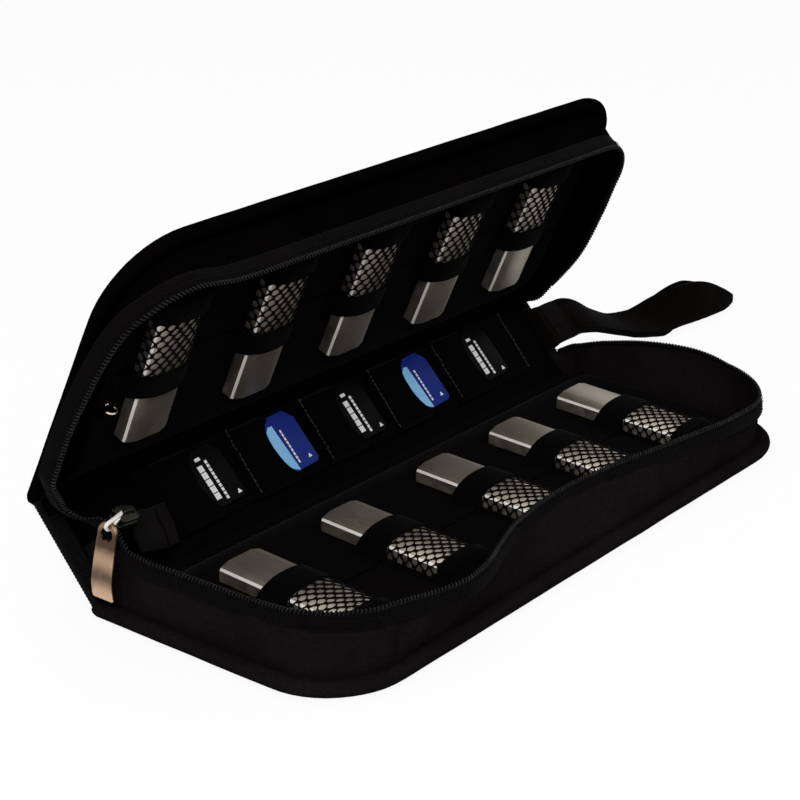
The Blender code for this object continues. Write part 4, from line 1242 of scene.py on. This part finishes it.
# The tab's thickness: share of the way from its hole to its outline, and distance from its middle
TAB_SECTION = ((0.0, 0.55), (0.10, 0.62), (0.90, 0.62), (0.97, 0.5), (1.0, 0.2), (1.0, -0.2), (0.97, -0.5),
               (0.90, -0.62), (0.10, -0.62), (0.0, -0.55), (-0.03, -0.2), (-0.03, 0.2))


def build_tab():
    """A tapered tab, rounded over its hole, slightly bowed along its length."""
    def bow(d):
        return 0.5 * math.sin(math.pi * min(max((d - 4) / 21, 0), 1)) - 0.9 * smooth((d - 19) / 6)

    pairs = []
    for u, d in even_round([(u, 12.0 + w) for u, w in rounded(9.0, 26.0, 0.6, 3)], 96):
        half = (4.2 + 0.6 * (d + 1) / 26) / 4.5
        if d < 3.2:
            half *= math.sqrt(max(0.02, 1 - ((3.2 - d) / 4.3) ** 2))
        a = math.atan2(d - 3.4, u)
        pairs.append((2.75 * math.cos(a), 3.4 + 2.3 * math.sin(a), u * half, d))
    rings = []
    for share, side in TAB_SECTION:
        ring = [(hu + (u - hu) * share, hd + (d - hd) * share) for hu, hd, u, d in pairs]
        rings.append([tab_place(u, d, side + bow(d)) for u, d in ring])
    tab = Shape("pull_tab_plate").grid(rings + rings[:1], PULL, True)
    slotted(tab.build(50, True), "bronze", "pull", "pull_tab")


build_tab()

for name, material in (("small_ring", GOLD), ("ring_tab", NYLON_PAINTED_BY_LIGHT["upper"])):
    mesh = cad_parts[name].data
    mesh.materials.clear()
    mesh.materials.append(material)

# Camera
camera_data = bpy.data.cameras.new("camera")
camera = link_object("camera", camera_data)
scene = bpy.context.scene
scene.camera = camera
camera_data.lens = 88.68
camera_data.sensor_width = 36.0
camera_data.clip_end = 10.0
camera_place = Vector((-506.25, -446.53, 296.83)) * MM
yaw, pitch, roll = (math.radians(a) for a in (40.242, -21.232, -1.489))
forward = Vector((math.cos(pitch) * math.cos(yaw), math.cos(pitch) * math.sin(yaw), math.sin(pitch)))
level = Vector((math.sin(yaw), -math.cos(yaw), 0))
upright = level.cross(forward)
right = math.cos(roll) * level + math.sin(roll) * upright
top = math.cos(roll) * upright - math.sin(roll) * level
turned = Matrix((right, top, -forward)).transposed().to_4x4()
camera.matrix_world = Matrix.Translation(camera_place) @ turned


# Floor, backdrop and light
def seen(tree):
    """1 for the rays that see the white surroundings as they are, 0 for the light that they give."""
    rays = node(tree, "ShaderNodeLightPath").outputs
    either = maths(tree, "MAXIMUM", rays["Is Camera Ray"], rays["Is Glossy Ray"])
    return maths(tree, "MAXIMUM", either, rays["Is Transmission Ray"])


scene.view_settings.view_transform = "Standard"
FLOOR_HALF, FLOOR_Z = 6, -0.0002
floor_mesh = bpy.data.meshes.new("floor")
square = [(x * FLOOR_HALF, y * FLOOR_HALF, FLOOR_Z) for x, y in ((-1, -1), (1, -1), (1, 1), (-1, 1))]
floor_mesh.from_pydata(square, [], [(0, 1, 2, 3)])
floor = link_object("floor", floor_mesh)
paper, tree, shader = start_material("white floor", Roughness=0.9, Specular_IOR_Level=0.0)
shader.inputs["Base Color"].default_value = (0.85, 0.85, 0.85, 1)
glow = node(tree, "ShaderNodeEmission", Color=(1, 1, 1, 1), Strength=1.0)
share = times(tree, seen(tree), 0.92)
mix = node(tree, "ShaderNodeMixShader", i0=share, i1=shader.outputs[0], i2=glow.outputs[0])
tree.links.new(mix.outputs[0], tree.nodes["Material Output"].inputs["Surface"])
floor_mesh.materials.append(paper)

world = bpy.data.worlds.new("studio")
scene.world = world
world.use_nodes = True
tree = world.node_tree
back = tree.nodes["Background"]
back.inputs["Color"].default_value = (1, 1, 1, 1)
strength = node(tree, "ShaderNodeMapRange", Value=seen(tree), To_Min=0.35, To_Max=1.0)
tree.links.new(strength.outputs["Result"], back.inputs["Strength"])


def lamp(name, place, aim, size, power):
    data = bpy.data.lights.new(name, "AREA")
    data.shape = "RECTANGLE"
    data.size, data.size_y = size
    data.energy = power
    made = link_object(name, data)
    made.location = place
    made.rotation_euler = (Vector(aim) - Vector(place)).to_track_quat("-Z", "Y").to_euler()


lamp("key", (-1.25, -1.0, 1.35), (0, 0, 0.03), (0.9, 0.9), 29)
lamp("fill", (0.9, -1.3, 0.9), (0, 0, 0.03), (1.2, 0.8), 2.5)
lamp("top", (0.1, 0.6, 1.8), (0, 0, 0.05), (1.4, 1.0), 10)
